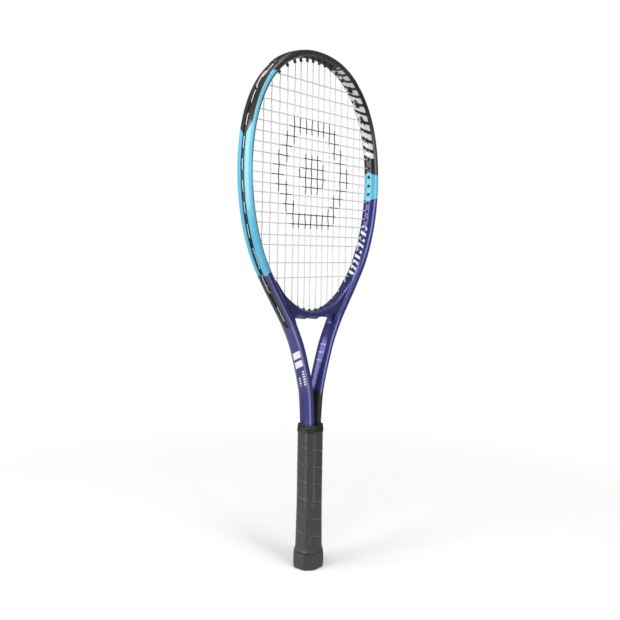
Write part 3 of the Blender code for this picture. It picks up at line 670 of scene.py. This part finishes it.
def turned(shape, origin, axis, profile, sides):
    """A closed profile of (travel, radius) turned about an axis."""
    across = axis.orthogonal().normalized()
    other = axis.cross(across)
    rings = []
    for step in range(sides):
        turn = 2 * math.pi * step / sides
        out = across * math.cos(turn) + other * math.sin(turn)
        rings.append([origin + axis * travel + out * radius for travel, radius in profile])
    skin(shape, rings, closed=True)


def add_barrel(shape, hole):
    axis = Vector((hole.side * hole.way.x, 0.0, hole.way.y))
    reach = hole.reach
    profile = [
        (0.0030, barrel_bore), (0.0030, barrel_radius), (-reach + 0.0006, barrel_radius),
        (-reach + 0.0001, barrel_radius - 0.0001), (-reach, barrel_radius - 0.00025),
        (-reach, barrel_bore + 0.0001), (-reach + 0.0002, barrel_bore),
    ]
    turned(shape, hole.point(0.0), axis, profile, barrel_sides)
    # A low collar where the barrel leaves the tube's wall
    collar = [
        (0.0008, barrel_radius - 0.0002), (0.0008, barrel_radius + 0.0004),
        (-0.0001, barrel_radius + 0.00035), (-0.0003, barrel_radius + 0.0001),
        (-0.0003, barrel_radius - 0.0002),
    ]
    turned(shape, hole.point(0.0), axis, collar, barrel_sides)


def tube_ring_plain(length, side, section, cuts):
    outline = eased([Vector(corner) for corner in section], cuts, steps=3)
    return [on_tube(length, side, *point) for point in outline]


def strip_rings(start, end, side):
    """A strip's rings, drawn in to a round end at both of its ends."""
    lengths = (
        spread(start, start + strip_half, 0.0004)
        + spread(start + strip_half, end - strip_half, 0.0025)[1:-1]
        + spread(end - strip_half, end, 0.0004)
    )
    cuts = [0.00035, 0.0001, 0.0001, 0.00035]
    rings = []
    for length in lengths:
        from_end = min(length - start, end - length)
        share = 1.0 - min(from_end / strip_half, 1.0)
        half = strip_half * math.sqrt(max(1.0 - share**2, 0.0)) + 0.00005
        section = whole([(strip_high, half), (strip_low, half)])
        rings.append(tube_ring_plain(length, side, section, cuts))
    return rings


nylon = Finish("black_nylon", Specular_IOR_Level=0.5)
cloud = nylon.noise(60.0, detail=4.0)
rub = nylon.noise(340.0, detail=5.0, roughness=0.75).rise(0.52, 0.80)
black = nylon.mix(cloud, (0.006, 0.006, 0.008, 1), (0.012, 0.012, 0.014, 1))
nylon.feed(
    Base_Color=nylon.mix(rub * 0.6, black, (0.040, 0.040, 0.045, 1)),
    Roughness=0.34 + 0.22 * rub + 0.06 * cloud,
)
nylon.relief(nylon.noise(2600.0, detail=2.0), 0.00003, strength=0.35)

guard_end = (main_holes[1, guard_mains - 1, True].length + cross_holes[1, 0].length) / 2
side_end = (cross_holes[1, len(cross_places) - 2].length + main_holes[1, 6, False].length) / 2
throat_end = channel_end - 0.0007

guard_half = [
    (0.0040, 0.0018), (0.0070, 0.0021), (0.0073, 0.0028), (0.0066, 0.0082),
    (0.0054, 0.0096), (0.0046, 0.0094), (0.0058, 0.0034), (0.0036, 0.0026),
]
guard_cuts = [0.0003, 0.0003, 0.0006, 0.0008, 0.0003, 0.0002, 0.0002, 0.0002]
guard_fade = 0.0300
guard_lengths = spread(0.0, guard_end - gap, 0.0022)


def tube_face(depth_value):
    """How far out the tube's outer face is at a depth: the flanges sink to it at the guard's ends."""
    (lip_out, lip_depth), (ridge_out, ridge_depth) = hoop_half[1:3]
    share = max(depth_value - lip_depth, 0.0) / (ridge_depth - lip_depth)
    return lip_out + (ridge_out - lip_out) * share


rings = []
for side, lengths in ((-1, guard_lengths[::-1]), (1, guard_lengths[1:])):
    for length in lengths:
        left = min((guard_end - gap - length) / guard_fade, 1.0)
        lift = 0.35 + 0.65 * math.sqrt(max(1 - (1 - left) ** 2, 0.0))
        half = []
        for outward_value, depth_value in guard_half:
            base = tube_face(depth_value)
            if outward_value > base:
                outward_value = base + (outward_value - base) * lift
            half.append((outward_value, depth_value))
        rings.append(tube_ring_plain(length, side, whole(half), guard_cuts + guard_cuts[::-1]))
shape = bmesh.new()
skin(shape, rings)
for side in (-1, 1):
    for index in range(guard_mains):
        add_barrel(shape, main_holes[side, index, True])
guard = solid("moulded_bumper_guard", shape, nylon, crease=45.0)
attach(guard, "root")
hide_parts("bumper_guard")

for side, word in ((-1, "left"), (1, "right")):
    shape = bmesh.new()
    skin(shape, strip_rings(guard_end + gap, side_end - gap, side))
    for index in range(len(cross_places) - 1):
        add_barrel(shape, cross_holes[side, index])
    for key in ((side, 6, True), (side, 7, True), (side, 7, False)):
        add_barrel(shape, main_holes[key])
    strip = solid("side_strip_" + word, shape, nylon, crease=45.0)
    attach(strip, "root")
    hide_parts("side_grommet_strip_" + word)

    shape = bmesh.new()
    skin(shape, strip_rings(side_end + gap, throat_end, side))
    add_barrel(shape, cross_holes[side, len(cross_places) - 1])
    for index in range(bridge_mains, 7):
        add_barrel(shape, main_holes[side, index, False])
    strip = solid("throat_strip_" + word, shape, nylon, crease=45.0)
    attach(strip, "root")
    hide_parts("throat_grommet_strip_" + word)

shape = bmesh.new()
for side in (-1, 1):
    for index in range(bridge_mains):
        add_barrel(shape, main_holes[side, index, False])
strip = solid("bridge_strip", shape, nylon, crease=45.0)
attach(strip, "root")
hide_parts("bridge_grommet_strip")


# ---- Strings ----------------------------------------------------------------------------------
# Two lengths of 1.3 mm synthetic string under tension: the mains run up and down, the crosses go
# over and under them in turn, and both loop along the channel outside the rim. A plain hexagon
# is stencilled on them in black ink.

main_wave, cross_wave = 0.00038, 0.00096
passing_offset = 0.0016
string_sides = 8
columns = [(-1, i) for i in reversed(range(len(main_places)))]
columns += [(1, i) for i in range(len(main_places))]
column_x = [side * main_places[i] for side, i in columns]


def wave(places, value, first):
    """+1 at one crossing and -1 at the next, smooth between, and flat beyond the outer ones."""
    if value <= places[0] or value >= places[-1]:
        index = 0 if value <= places[0] else len(places) - 1
        fade = min(abs(value - places[index]) / 0.010, 1.0)
        return first * (-1) ** index * (1 - fade) ** 2 * (1 + 2 * fade)
    index = next(i for i in range(len(places) - 1) if value <= places[i + 1])
    share = (value - places[index]) / (places[index + 1] - places[index])
    return first * (-1) ** index * math.cos(share * math.pi)


def channel_points(first, second, sign):
    """Along the outer channel, aside from any other string's end on the way."""
    low, high = sorted((first.length, second.length))
    passes = any(
        other.side == first.side and not other.bridge and low < other.length < high
        for other in all_holes
    )
    made = []
    for length in spread(first.length, second.length, 0.0020)[1:-1]:
        near = min(abs(length - first.length), abs(length - second.length))
        aside = passing_offset * min(near / 0.004, 1.0) * sign if passes else 0.0
        made.append(on_tube(length, first.side, string_in_channel, aside))
    return made


def softened(points, cut=0.0011):
    """The path with each sharp corner rounded off."""
    made = [points[0]]
    for before, corner, after in zip(points, points[1:], points[2:]):
        if (corner - before).angle(after - corner) < 0.25:
            made.append(corner)
            continue
        start = corner.lerp(before, min(cut / (before - corner).length, 0.45))
        end = corner.lerp(after, min(cut / (after - corner).length, 0.45))
        for step in range(5):
            t = step / 4
            made.append(start.lerp(corner, t).lerp(corner.lerp(end, t), t))
    return made + [points[-1]]


def add_string(shape, points, radius=string_radius):
    points = softened(points)
    rings = []
    side_way = (points[1] - points[0]).orthogonal().normalized()
    for index, point in enumerate(points):
        ahead = points[min(index + 1, len(points) - 1)] - points[max(index - 1, 0)]
        ahead.normalize()
        side_way = (side_way - ahead * side_way.dot(ahead)).normalized()
        other = ahead.cross(side_way)
        rings.append([
            point + radius * (side_way * math.cos(a) + other * math.sin(a))
            for a in (2 * math.pi * step / string_sides for step in range(string_sides))
        ])
    skin(shape, rings)


path = []
for number, (side, index) in enumerate(columns):
    upward = number % 2 == 0
    start, end = main_holes[side, index, not upward], main_holes[side, index, upward]
    path += [start.corner(), start.point(0.0), start.inner_end()]
    crossing = cross_places[::-1]
    low, high = sorted((start.inner_end().z, end.inner_end().z))
    heights = spread(low + 0.0015, high - 0.0015, 0.0019)
    for height_value in heights if upward else heights[::-1]:
        sway = main_wave * wave(crossing, height_value, (-1) ** (number + 1))
        path.append(Vector((side * main_places[index], sway, height_value)))
    path += [end.inner_end(), end.point(0.0), end.corner()]
    if number + 1 == len(columns):
        continue
    next_side, next_index = columns[number + 1]
    following = main_holes[next_side, next_index, upward]
    if end.bridge:
        first, second = end.corner(), following.corner()
        for x in spread(first.x, second.x, 0.0020)[1:-1]:
            path.append(Vector((x, 0.0, bridge_underside(x) + string_in_groove)))
    elif side != next_side:
        for x in spread(end.corner().x, following.corner().x, 0.0020)[1:-1]:
            path.append(on_tube(abs(x), math.copysign(1, x), string_in_channel, 0.0))
    else:
        path += channel_points(end, following, 1)
shape = bmesh.new()
add_string(shape, path)

filament = Finish("string_filament", Specular_IOR_Level=0.5, Coat_Weight=0.25, Coat_Roughness=0.2)
x_axis, _, z_axis = filament.axes()
from_centre_x = abs(x_axis + 0.004)
from_centre_z = abs(z_axis - head_centre_z)
hexagon = filament.node(
    "ShaderNodeMath", {"operation": "MAXIMUM"},
    {0: from_centre_z, 1: from_centre_z * 0.5 + from_centre_x * 0.8660},
)
ring_mask = hexagon.within(0.0520, 0.0720, 0.0006)
core_mask = 1 - hexagon.rise(0.0262, 0.0268)
stencil = (ring_mask + core_mask).rise(0.0, 1.0)
wear = filament.noise(900.0, detail=4.0, roughness=0.7)
ink_cover = stencil * (1.0 - 0.20 * wear.rise(0.60, 0.85))
cream = filament.mix(wear, (0.66, 0.66, 0.66, 1), (0.78, 0.78, 0.77, 1))
filament.feed(
    Base_Color=filament.mix(ink_cover, cream, (0.004, 0.004, 0.005, 1)),
    Roughness=0.36 + 0.14 * wear,
)
filament.relief(filament.noise(3400.0, detail=1.0), 0.00001, strength=0.4)
mains = solid("main_string_run", shape, filament, crease=80.0)
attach(mains, "root")
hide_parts("main_string")

path = []
for number, height_value in enumerate(cross_places):
    side = 1 if number % 2 == 0 else -1
    start, end = cross_holes[side, number], cross_holes[-side, number]
    path += [start.corner(), start.point(0.0), start.inner_end()]
    reach = start.inner_end().x * side - 0.0015
    inside = [x for x in column_x if abs(x) < reach + 0.0009]
    first = 1 if (column_x.index(inside[0]) + number) % 2 == 0 else -1
    xs = spread(-reach, reach, 0.0019)
    for x in xs if side < 0 else xs[::-1]:
        path.append(Vector((x, cross_wave * wave(inside, x, first), height_value)))
    path += [end.inner_end(), end.point(0.0), end.corner()]
    if number + 1 < len(cross_places):
        path += channel_points(end, cross_holes[-side, number + 1], -1)
shape = bmesh.new()
add_string(shape, path)
crosses = solid("cross_string_run", shape, filament, crease=80.0)
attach(crosses, "root")
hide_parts("cross_string")


# ---- Pallets and staples ----------------------------------------------------------------------
# Two moulded half shells are pushed over the legs to give the handle its eight sides, and two
# wire staples pin the butt cap to them. All of it is covered when the racket is finished.

pallet_plastic = Finish("pallet_plastic")
grain = pallet_plastic.noise(300.0, detail=5.0)
pallet_plastic.feed(
    Base_Color=pallet_plastic.mix(grain, (0.12, 0.115, 0.11, 1), (0.19, 0.18, 0.17, 1)),
    Roughness=0.50 + 0.20 * grain,
)
pallet_plastic.relief(grain, 0.0001, strength=0.4)
for name in ("pallet_front", "pallet_back"):
    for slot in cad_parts[name].material_slots:
        slot.material = pallet_plastic.material

bright_wire = Finish("bright_wire", Metallic=1.0)
draw_marks = bright_wire.noise(2000.0, detail=3.0)
bright_wire.feed(
    Base_Color=bright_wire.mix(draw_marks, (0.50, 0.50, 0.52, 1), (0.70, 0.70, 0.72, 1)),
    Roughness=0.22 + 0.20 * draw_marks,
)
for name in ("cap_staple_front", "cap_staple_back"):
    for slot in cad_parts[name].material_slots:
        slot.material = bright_wire.material


# ---- Butt cap and door ------------------------------------------------------------------------
# A flared cap injection-moulded in black plastic with a fine spark-eroded texture, pushed over
# the pallets' end and stapled. A snap-in door closes the hole in its end face.

octagon_flat = 0.48
cap_wide = (0.0408, 0.0364)
pallet_wide = (0.0310, 0.0268)
tape_low_z, tape_thickness = 0.0215, 0.0015
cap_shoulder_z, cap_top_z = 0.0258, 0.0300
door_wide = (0.0200, 0.0160)


def grown(size, amount):
    return size[0] + 2 * amount, size[1] + 2 * amount


def octagon(size, z, cut, flat=octagon_flat, steps=5):
    """A closed ring: a bevelled rectangle with its eight edges rounded."""
    half_x, half_y = size[0] / 2, size[1] / 2
    cut_x, cut_y = half_x * flat, half_y * flat
    corners = [
        (half_x, cut_y), (cut_x, half_y), (-cut_x, half_y), (-half_x, cut_y),
        (-half_x, -cut_y), (-cut_x, -half_y), (cut_x, -half_y), (half_x, -cut_y),
    ]
    outline = eased([Vector(corner) for corner in corners], [cut] * 8, steps)
    return [Vector((point.x, point.y, z)) for point in outline]


def smooth_levels(levels, per_span=6):
    """(z, grow, corner cut) levels with a smooth curve through them."""
    points = [Vector(level) for level in levels]
    return [points[0]] + curve_through(points, per_span)


def under_tape(z):
    """How much wider than the pallets the handle is under the tape, near the cap."""
    levels = [(tape_low_z, 0.0024), (cap_shoulder_z, 0.0009), (cap_top_z, 0.0)]
    for (low_z, low), (high_z, high) in zip(levels, levels[1:]):
        if z <= high_z:
            share = max((z - low_z) / (high_z - low_z), 0.0)
            return low + (high - low) * share
    return 0.0


def between(small, large, share):
    return tuple(a + (b - a) * share for a, b in zip(small, large))


tape_at_cap = grown(pallet_wide, under_tape(tape_low_z) + tape_thickness + gap)
profile = [
    (tape_low_z - 0.0004, -0.05, 0.0022), (0.0200, 0.20, 0.0024), (0.0160, 0.80, 0.0028),
    (0.0120, 0.985, 0.0034), (0.0080, 1.0, 0.0036), (0.0056, 0.96, 0.0036),
    (0.0036, 0.70, 0.0036), (0.0020, 0.10, 0.0036), (0.0009, -0.80, 0.0036),
    (0.0002, -1.70, 0.0036), (0.0, -2.60, 0.0036),
]
rings = [
    octagon(pallet_wide, cap_top_z, 0.0012),
    octagon(grown(pallet_wide, under_tape(cap_shoulder_z)), cap_shoulder_z, 0.0012),
    octagon(grown(pallet_wide, under_tape(tape_low_z) + 0.0002), tape_low_z - 0.0003, 0.0012),
]
for z, share, cut in smooth_levels(profile, 5):
    rings.append(octagon(between(tape_at_cap, cap_wide, share), max(z, 0.0), cut))
end_face = between(tape_at_cap, cap_wide, profile[-1][1])
for share in (0.25, 0.6, 1.0):
    rings.append(octagon(between(end_face, grown(door_wide, gap), share), 0.0, 0.0024 - 0.0012 * share))
rings.append(octagon(grown(door_wide, gap - 0.0003), 0.0003, 0.0012))
rings.append(octagon(grown(door_wide, gap - 0.0003), 0.0040, 0.0012))
shape = bmesh.new()
skin(shape, rings)

cap_plastic = Finish("cap_plastic", Specular_IOR_Level=0.5)
spark = cap_plastic.noise(2400.0, detail=3.0)
smudge = cap_plastic.noise(55.0, detail=4.0)
cap_plastic.feed(
    Base_Color=cap_plastic.mix(smudge, (0.020, 0.017, 0.016, 1), (0.034, 0.029, 0.028, 1)),
    Roughness=0.40 + 0.16 * smudge + 0.06 * spark,
)
cap_plastic.relief(spark, 0.00005, strength=0.5)
cap = solid("moulded_butt_cap", shape, cap_plastic, crease=40.0)
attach(cap, "root")
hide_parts("butt_cap")

door_depth = 0.0030
# The door's outer face is a shallow dish, as (millimetres in from the edge, height)
dish = [(6, 0.0009), (5, 0.0009), (4, 0.0009), (3, 0.0009), (2, 0.0008), (1, 0.0003)]
rings = [
    octagon(grown(door_wide, -0.0004 - 0.0010 * inward), rise, 0.0010 / (1 + inward))
    for inward, rise in dish
]
rings += [
    octagon(grown(door_wide, -0.0004), 0.0002, 0.0010),
    octagon(door_wide, 0.0005, 0.0012),
    octagon(door_wide, door_depth, 0.0012),
]
shape = bmesh.new()
skin(shape, rings)

door_plastic = Finish("door_plastic", Specular_IOR_Level=0.5)
haze = door_plastic.noise(150.0, detail=3.0)
door_x, door_y, _ = door_plastic.axes()
stripe = abs(door_x * 0.8 - door_y).within(-1.0, 0.0009, 0.0002) * (abs(door_x) < 0.0050)
grey = door_plastic.mix(haze, (0.085, 0.085, 0.095, 1), (0.12, 0.12, 0.13, 1))
door_plastic.feed(
    Base_Color=door_plastic.mix(stripe * 0.8, grey, (0.32, 0.32, 0.36, 1)),
    Roughness=0.34 + 0.14 * haze,
)
door_plastic.relief(door_plastic.noise(2400.0, detail=2.0), 0.00004, strength=0.3)
door = solid("snap_in_door", shape, door_plastic, crease=40.0)
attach(door, "root")
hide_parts("butt_door")


# ---- Grip tape --------------------------------------------------------------------------------
# One cushioned synthetic tape with a leather-like skin, bevelled along both edges, stretched and
# wound up the handle so that each turn just overlaps the last and leaves a shallow spiral seam.

tape_high_z, tape_pitch = 0.1828, 0.0228
around_steps = 12
wrap_start = -0.404
bevel_wide, bevel_deep = 0.0010, 0.00075
lap_wide, lap_deep = 0.0022, 0.00040
# Where the band of painted highlight and wear along the handle's edges lies, and how wide it is
edge_band_centre, edge_band_reach = 1.1, 0.17


def tape_ring(z, grow):
    return octagon(grown(pallet_wide, grow), z, 0.0034, steps=around_steps)


def seam_dip(z, turn):
    """How far below its crown the tape lies, by how far it is above the seam under it."""
    above = (z - tape_low_z - tape_pitch * turn) % tape_pitch
    if above < bevel_wide:
        return bevel_deep * (1 - above / bevel_wide) ** 1.5
    below = tape_pitch - above
    if below < lap_wide:
        return lap_deep * (1 - below / lap_wide) ** 2
    return 0.0


def edge_share(point):
    """1 on the eight edges of the handle and 0 in the middle of its flats."""
    x, y = 2 * abs(point.x) / pallet_wide[0], 2 * abs(point.y) / pallet_wide[1]
    far, near = edge_band_centre, octagon_flat * edge_band_centre
    nearest = min(math.hypot(x - far, y - near), math.hypot(x - near, y - far))
    return max(0.0, 1 - nearest / edge_band_reach)


rings, turn_notes, edge_notes = [], [], []
for z in spread(tape_low_z, tape_high_z, 0.0004):
    ring = tape_ring(z, under_tape(z) + gap + tape_thickness)
    edge_notes.append([edge_share(point) for point in ring])
    made, turns = [], []
    for point in ring:
        turn = (math.atan2(-point.y, point.x) / (2 * math.pi) + wrap_start) % 1.0
        dip = seam_dip(z, turn)
        end_round = 0.0006 * max(0.0, 1 - (z - tape_low_z) / 0.0012) ** 2
        shrink = 1 - (dip + end_round) / math.hypot(point.x, point.y)
        made.append(Vector((point.x * shrink, point.y * shrink, z)))
        turns.append(turn)
    rings.append(made)
    turn_notes.append(turns)
inner_low = tape_ring(tape_low_z, under_tape(tape_low_z) + gap)
rings = [inner_low] + rings + [tape_ring(tape_high_z, gap)]
turn_notes = [turn_notes[0]] + turn_notes + [turn_notes[-1]]
edge_notes = [edge_notes[0]] + edge_notes + [edge_notes[-1]]
shape = bmesh.new()
skin(shape, rings, closed=True, notes={"turn": turn_notes, "edge": edge_notes})

tape_skin = Finish("grip_tape_skin", Specular_IOR_Level=0.35, Sheen_Weight=0.15, Sheen_Roughness=0.5)
_, _, tape_z = tape_skin.axes()
turn = tape_skin.noted("turn")
above = (tape_z - tape_low_z - turn * tape_pitch) % tape_pitch
painted_seam_shade = (1 - above.rise(0.0001, 0.0007)) + above.rise(tape_pitch - 0.0005, tape_pitch)
seam_ledge_highlight = above.within(0.0007, 0.0024, 0.0010)
pores = tape_skin.node("ShaderNodeTexVoronoi", {}, {"Vector": tape_skin.place(), "Scale": 1700.0})
leather = tape_skin.noise(1500.0, detail=4.0, roughness=0.6)
handling = tape_skin.noise(42.0, detail=4.0)
# Patches that place both the rubbed wear on the edges and the broken painted highlight above the seams
wear_and_highlight_patches = tape_skin.noise(260.0, detail=3.0, roughness=0.65).rise(0.38, 0.66)
edge_wear_and_highlight = tape_skin.noted("edge")
colour = tape_skin.mix(handling, (0.029, 0.027, 0.027, 1), (0.044, 0.041, 0.041, 1))
colour = tape_skin.mix(leather.rise(0.35, 0.75) * 0.40, colour, (0.018, 0.017, 0.017, 1))
# Lighter along the handle's eight edges: partly a painted highlight that runs along every edge, partly
# rubbed wear in patches
colour = tape_skin.mix(edge_wear_and_highlight * (0.30 + 0.50 * wear_and_highlight_patches), colour, (0.125, 0.119, 0.116, 1))
# Painted highlight on the tape's raised edge just above each seam, shown in patches
colour = tape_skin.mix(seam_ledge_highlight * (0.05 + 0.70 * wear_and_highlight_patches), colour, (0.150, 0.144, 0.140, 1))
# Painted shade: the crease of each seam darkened towards black
colour = tape_skin.mix(painted_seam_shade * 0.75, colour, (0.009, 0.009, 0.009, 1))
tape_skin.feed(Base_Color=colour, Roughness=0.55 + 0.14 * leather + 0.08 * handling)
tape_skin.relief(pores * 0.5 + leather * 0.5, 0.00012, strength=0.55)
tape = solid("wound_grip_tape", shape, tape_skin, crease=60.0)
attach(tape, "root")
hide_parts("grip_tape")


# ---- Finishing tape and collar ----------------------------------------------------------------
# A short turn of black vinyl tape holds the wrap's end, and a stretchy rubber collar is rolled
# down over it from the shaft, which it hugs with its thin top edge.

finish_low_z, finish_high_z = 0.1806, 0.1844
over_tape = under_tape(tape_high_z) + gap + tape_thickness
band_zs = spread(finish_low_z, finish_high_z, 0.0008)
band_levels = [(finish_low_z, 0.0002)] + [(z, 0.00055) for z in band_zs]
band_levels += [(finish_high_z, 0.0002), (finish_high_z, -0.0006), (finish_low_z, -0.0006)]
rings = [
    octagon(grown(pallet_wide, over_tape + rise), z, 0.0034, steps=around_steps)
    for z, rise in band_levels
]
shape = bmesh.new()
skin(shape, rings, closed=True)

vinyl = Finish("finishing_vinyl")
stretch = vinyl.noise(130.0, detail=3.0)
vinyl.feed(
    Base_Color=vinyl.mix(stretch, (0.006, 0.006, 0.010, 1), (0.013, 0.013, 0.018, 1)),
    Roughness=0.38 + 0.16 * stretch,
)
vinyl.relief(vinyl.noise(700.0, detail=2.0), 0.00004, strength=0.4)
band = solid("vinyl_band", shape, vinyl, crease=50.0)
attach(band, "root")
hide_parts("finishing_tape")

collar_low_z, collar_high_z = 0.1847, 0.1902
legs_wide = (2 * (leg_centre_x + leg_inside), 2 * leg_half[3][1])
collar_flat = 0.72
handle_size = grown(pallet_wide, over_tape + 0.0002)
neck_size = grown(legs_wide, 0.0016)
collar_levels = [
    (collar_low_z, 0.0), (0.1850, -0.02), (0.1860, 0.02), (0.1868, 0.10), (0.1877, 0.36),
    (0.1885, 0.66), (0.1892, 0.88), (0.1898, 0.97), (collar_high_z, 1.0),
]
levels = smooth_levels([(z, share, 0.0) for z, share in collar_levels], 3)
rings = []
for z, share, _ in levels:
    flat = octagon_flat + (collar_flat - octagon_flat) * share
    size = between(handle_size, neck_size, share)
    rings.append(octagon(size, z, 0.0038, flat, around_steps))
inner = [
    octagon(grown(legs_wide, 0.0003), collar_high_z, 0.0030, collar_flat, around_steps),
    octagon(grown(legs_wide, 0.0003), 0.1880, 0.0030, collar_flat, around_steps),
    octagon(grown(pallet_wide, gap), collar_low_z, 0.0030, octagon_flat, around_steps),
]
shape = bmesh.new()
skin(shape, rings + inner, closed=True)

rubber = Finish("collar_rubber", Specular_IOR_Level=0.5)
bloom = rubber.noise(90.0, detail=4.0)
rubber.feed(
    Base_Color=rubber.mix(bloom, (0.007, 0.007, 0.009, 1), (0.015, 0.015, 0.017, 1)),
    Roughness=0.40 + 0.20 * bloom,
)
rubber.relief(rubber.noise(900.0, detail=3.0), 0.00006, strength=0.4)
collar = solid("rolled_collar", shape, rubber, crease=55.0)
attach(collar, "root")
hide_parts("grip_collar")


# ---- Studio -----------------------------------------------------------------------------------
# A plain pale floor under soft light: a broad box on the left with a weaker one behind it, one
# in front and one overhead, in a pale surround. The camera stands in front, below the head.

studio = bpy.context.scene
floor_radius, floor_fade = 0.85, 0.10
floor_sides = 96
shape = bmesh.new()
rim = [
    shape.verts.new((floor_radius * math.cos(turn), floor_radius * math.sin(turn), -0.0002))
    for turn in (2 * math.pi * step / floor_sides for step in range(floor_sides))
]
shape.faces.new(rim)
paper = Finish("floor_paper")
fibre = paper.noise(40.0, detail=5.0)
floor_x, floor_y, _ = paper.axes()
square = floor_x * floor_x + floor_y * floor_y
from_middle = square.math("SQRT", square)
paper.feed(
    Base_Color=paper.mix(fibre, (0.94, 0.94, 0.94, 1), (0.97, 0.97, 0.97, 1)),
    Roughness=0.85 + 0.10 * fibre,
    Alpha=1 - from_middle.rise(floor_fade, floor_radius - 0.05),
)
floor = solid("studio_floor", shape, paper)

surround = bpy.data.worlds.new("studio_surround")
surround.use_nodes = True
backdrop = surround.node_tree.nodes["Background"]
backdrop.inputs["Color"].default_value = (1.0, 1.0, 1.0, 1.0)
seen = surround.node_tree.nodes.new("ShaderNodeLightPath")
level = surround.node_tree.nodes.new("ShaderNodeMapRange")
level.inputs["To Min"].default_value = 0.20
level.inputs["To Max"].default_value = 1.0
surround.node_tree.links.new(seen.outputs["Is Camera Ray"], level.inputs["Value"])
surround.node_tree.links.new(level.outputs["Result"], backdrop.inputs["Strength"])
studio.world = surround


def soft_box(name, position, target, size, power):
    data = bpy.data.lights.new(name, "AREA")
    data.shape = "RECTANGLE"
    data.size, data.size_y = size
    data.energy = power
    lamp = bpy.data.objects.new(name, data)
    lamp.location = position
    lamp.rotation_euler = (Vector(target) - Vector(position)).to_track_quat("-Z", "Y").to_euler()
    studio.collection.objects.link(lamp)


soft_box("left_box", (-1.85, 0.50, 0.75), (0.0, 0.0, 0.35), (0.8, 1.7), 26.0)
soft_box("front_box", (-0.35, -1.9, 0.9), (0.0, 0.0, 0.35), (0.7, 1.5), 16.0)
soft_box("rear_box", (-1.40, 1.30, 0.70), (0.0, 0.0, 0.35), (0.5, 1.6), 9.0)
soft_box("top_box", (-0.3, -0.3, 2.2), (0.0, 0.0, 0.4), (1.4, 1.4), 34.0)

camera_place = (-0.7964, -0.6490, 0.4206)
yaw, pitch, roll = math.radians(50.582), math.radians(0.434), math.radians(0.929)
level_right = Vector((math.cos(yaw), -math.sin(yaw), 0.0))
level_ahead = Vector((math.sin(yaw), math.cos(yaw), 0.0))
straight_up = Vector((0.0, 0.0, 1.0))
right = level_right * math.cos(roll) + straight_up * math.sin(roll)
upright = straight_up * math.cos(roll) - level_right * math.sin(roll)
ahead = level_ahead * math.cos(pitch) - upright * math.sin(pitch)
top = upright * math.cos(pitch) + level_ahead * math.sin(pitch)
camera_data = bpy.data.cameras.new("studio_camera")
camera_data.sensor_width = 36.0
camera_data.lens = 44.65
camera_data.shift_y = -0.0858
camera = bpy.data.objects.new("studio_camera", camera_data)
studio.collection.objects.link(camera)
turned_to = camera.matrix_world.to_3x3()
for row in range(3):
    turned_to[row] = (right[row], top[row], -ahead[row])
placed = turned_to.to_4x4()
placed.translation = camera_place
camera.matrix_world = placed
studio.camera = camera
studio.view_settings.view_transform = "Standard"
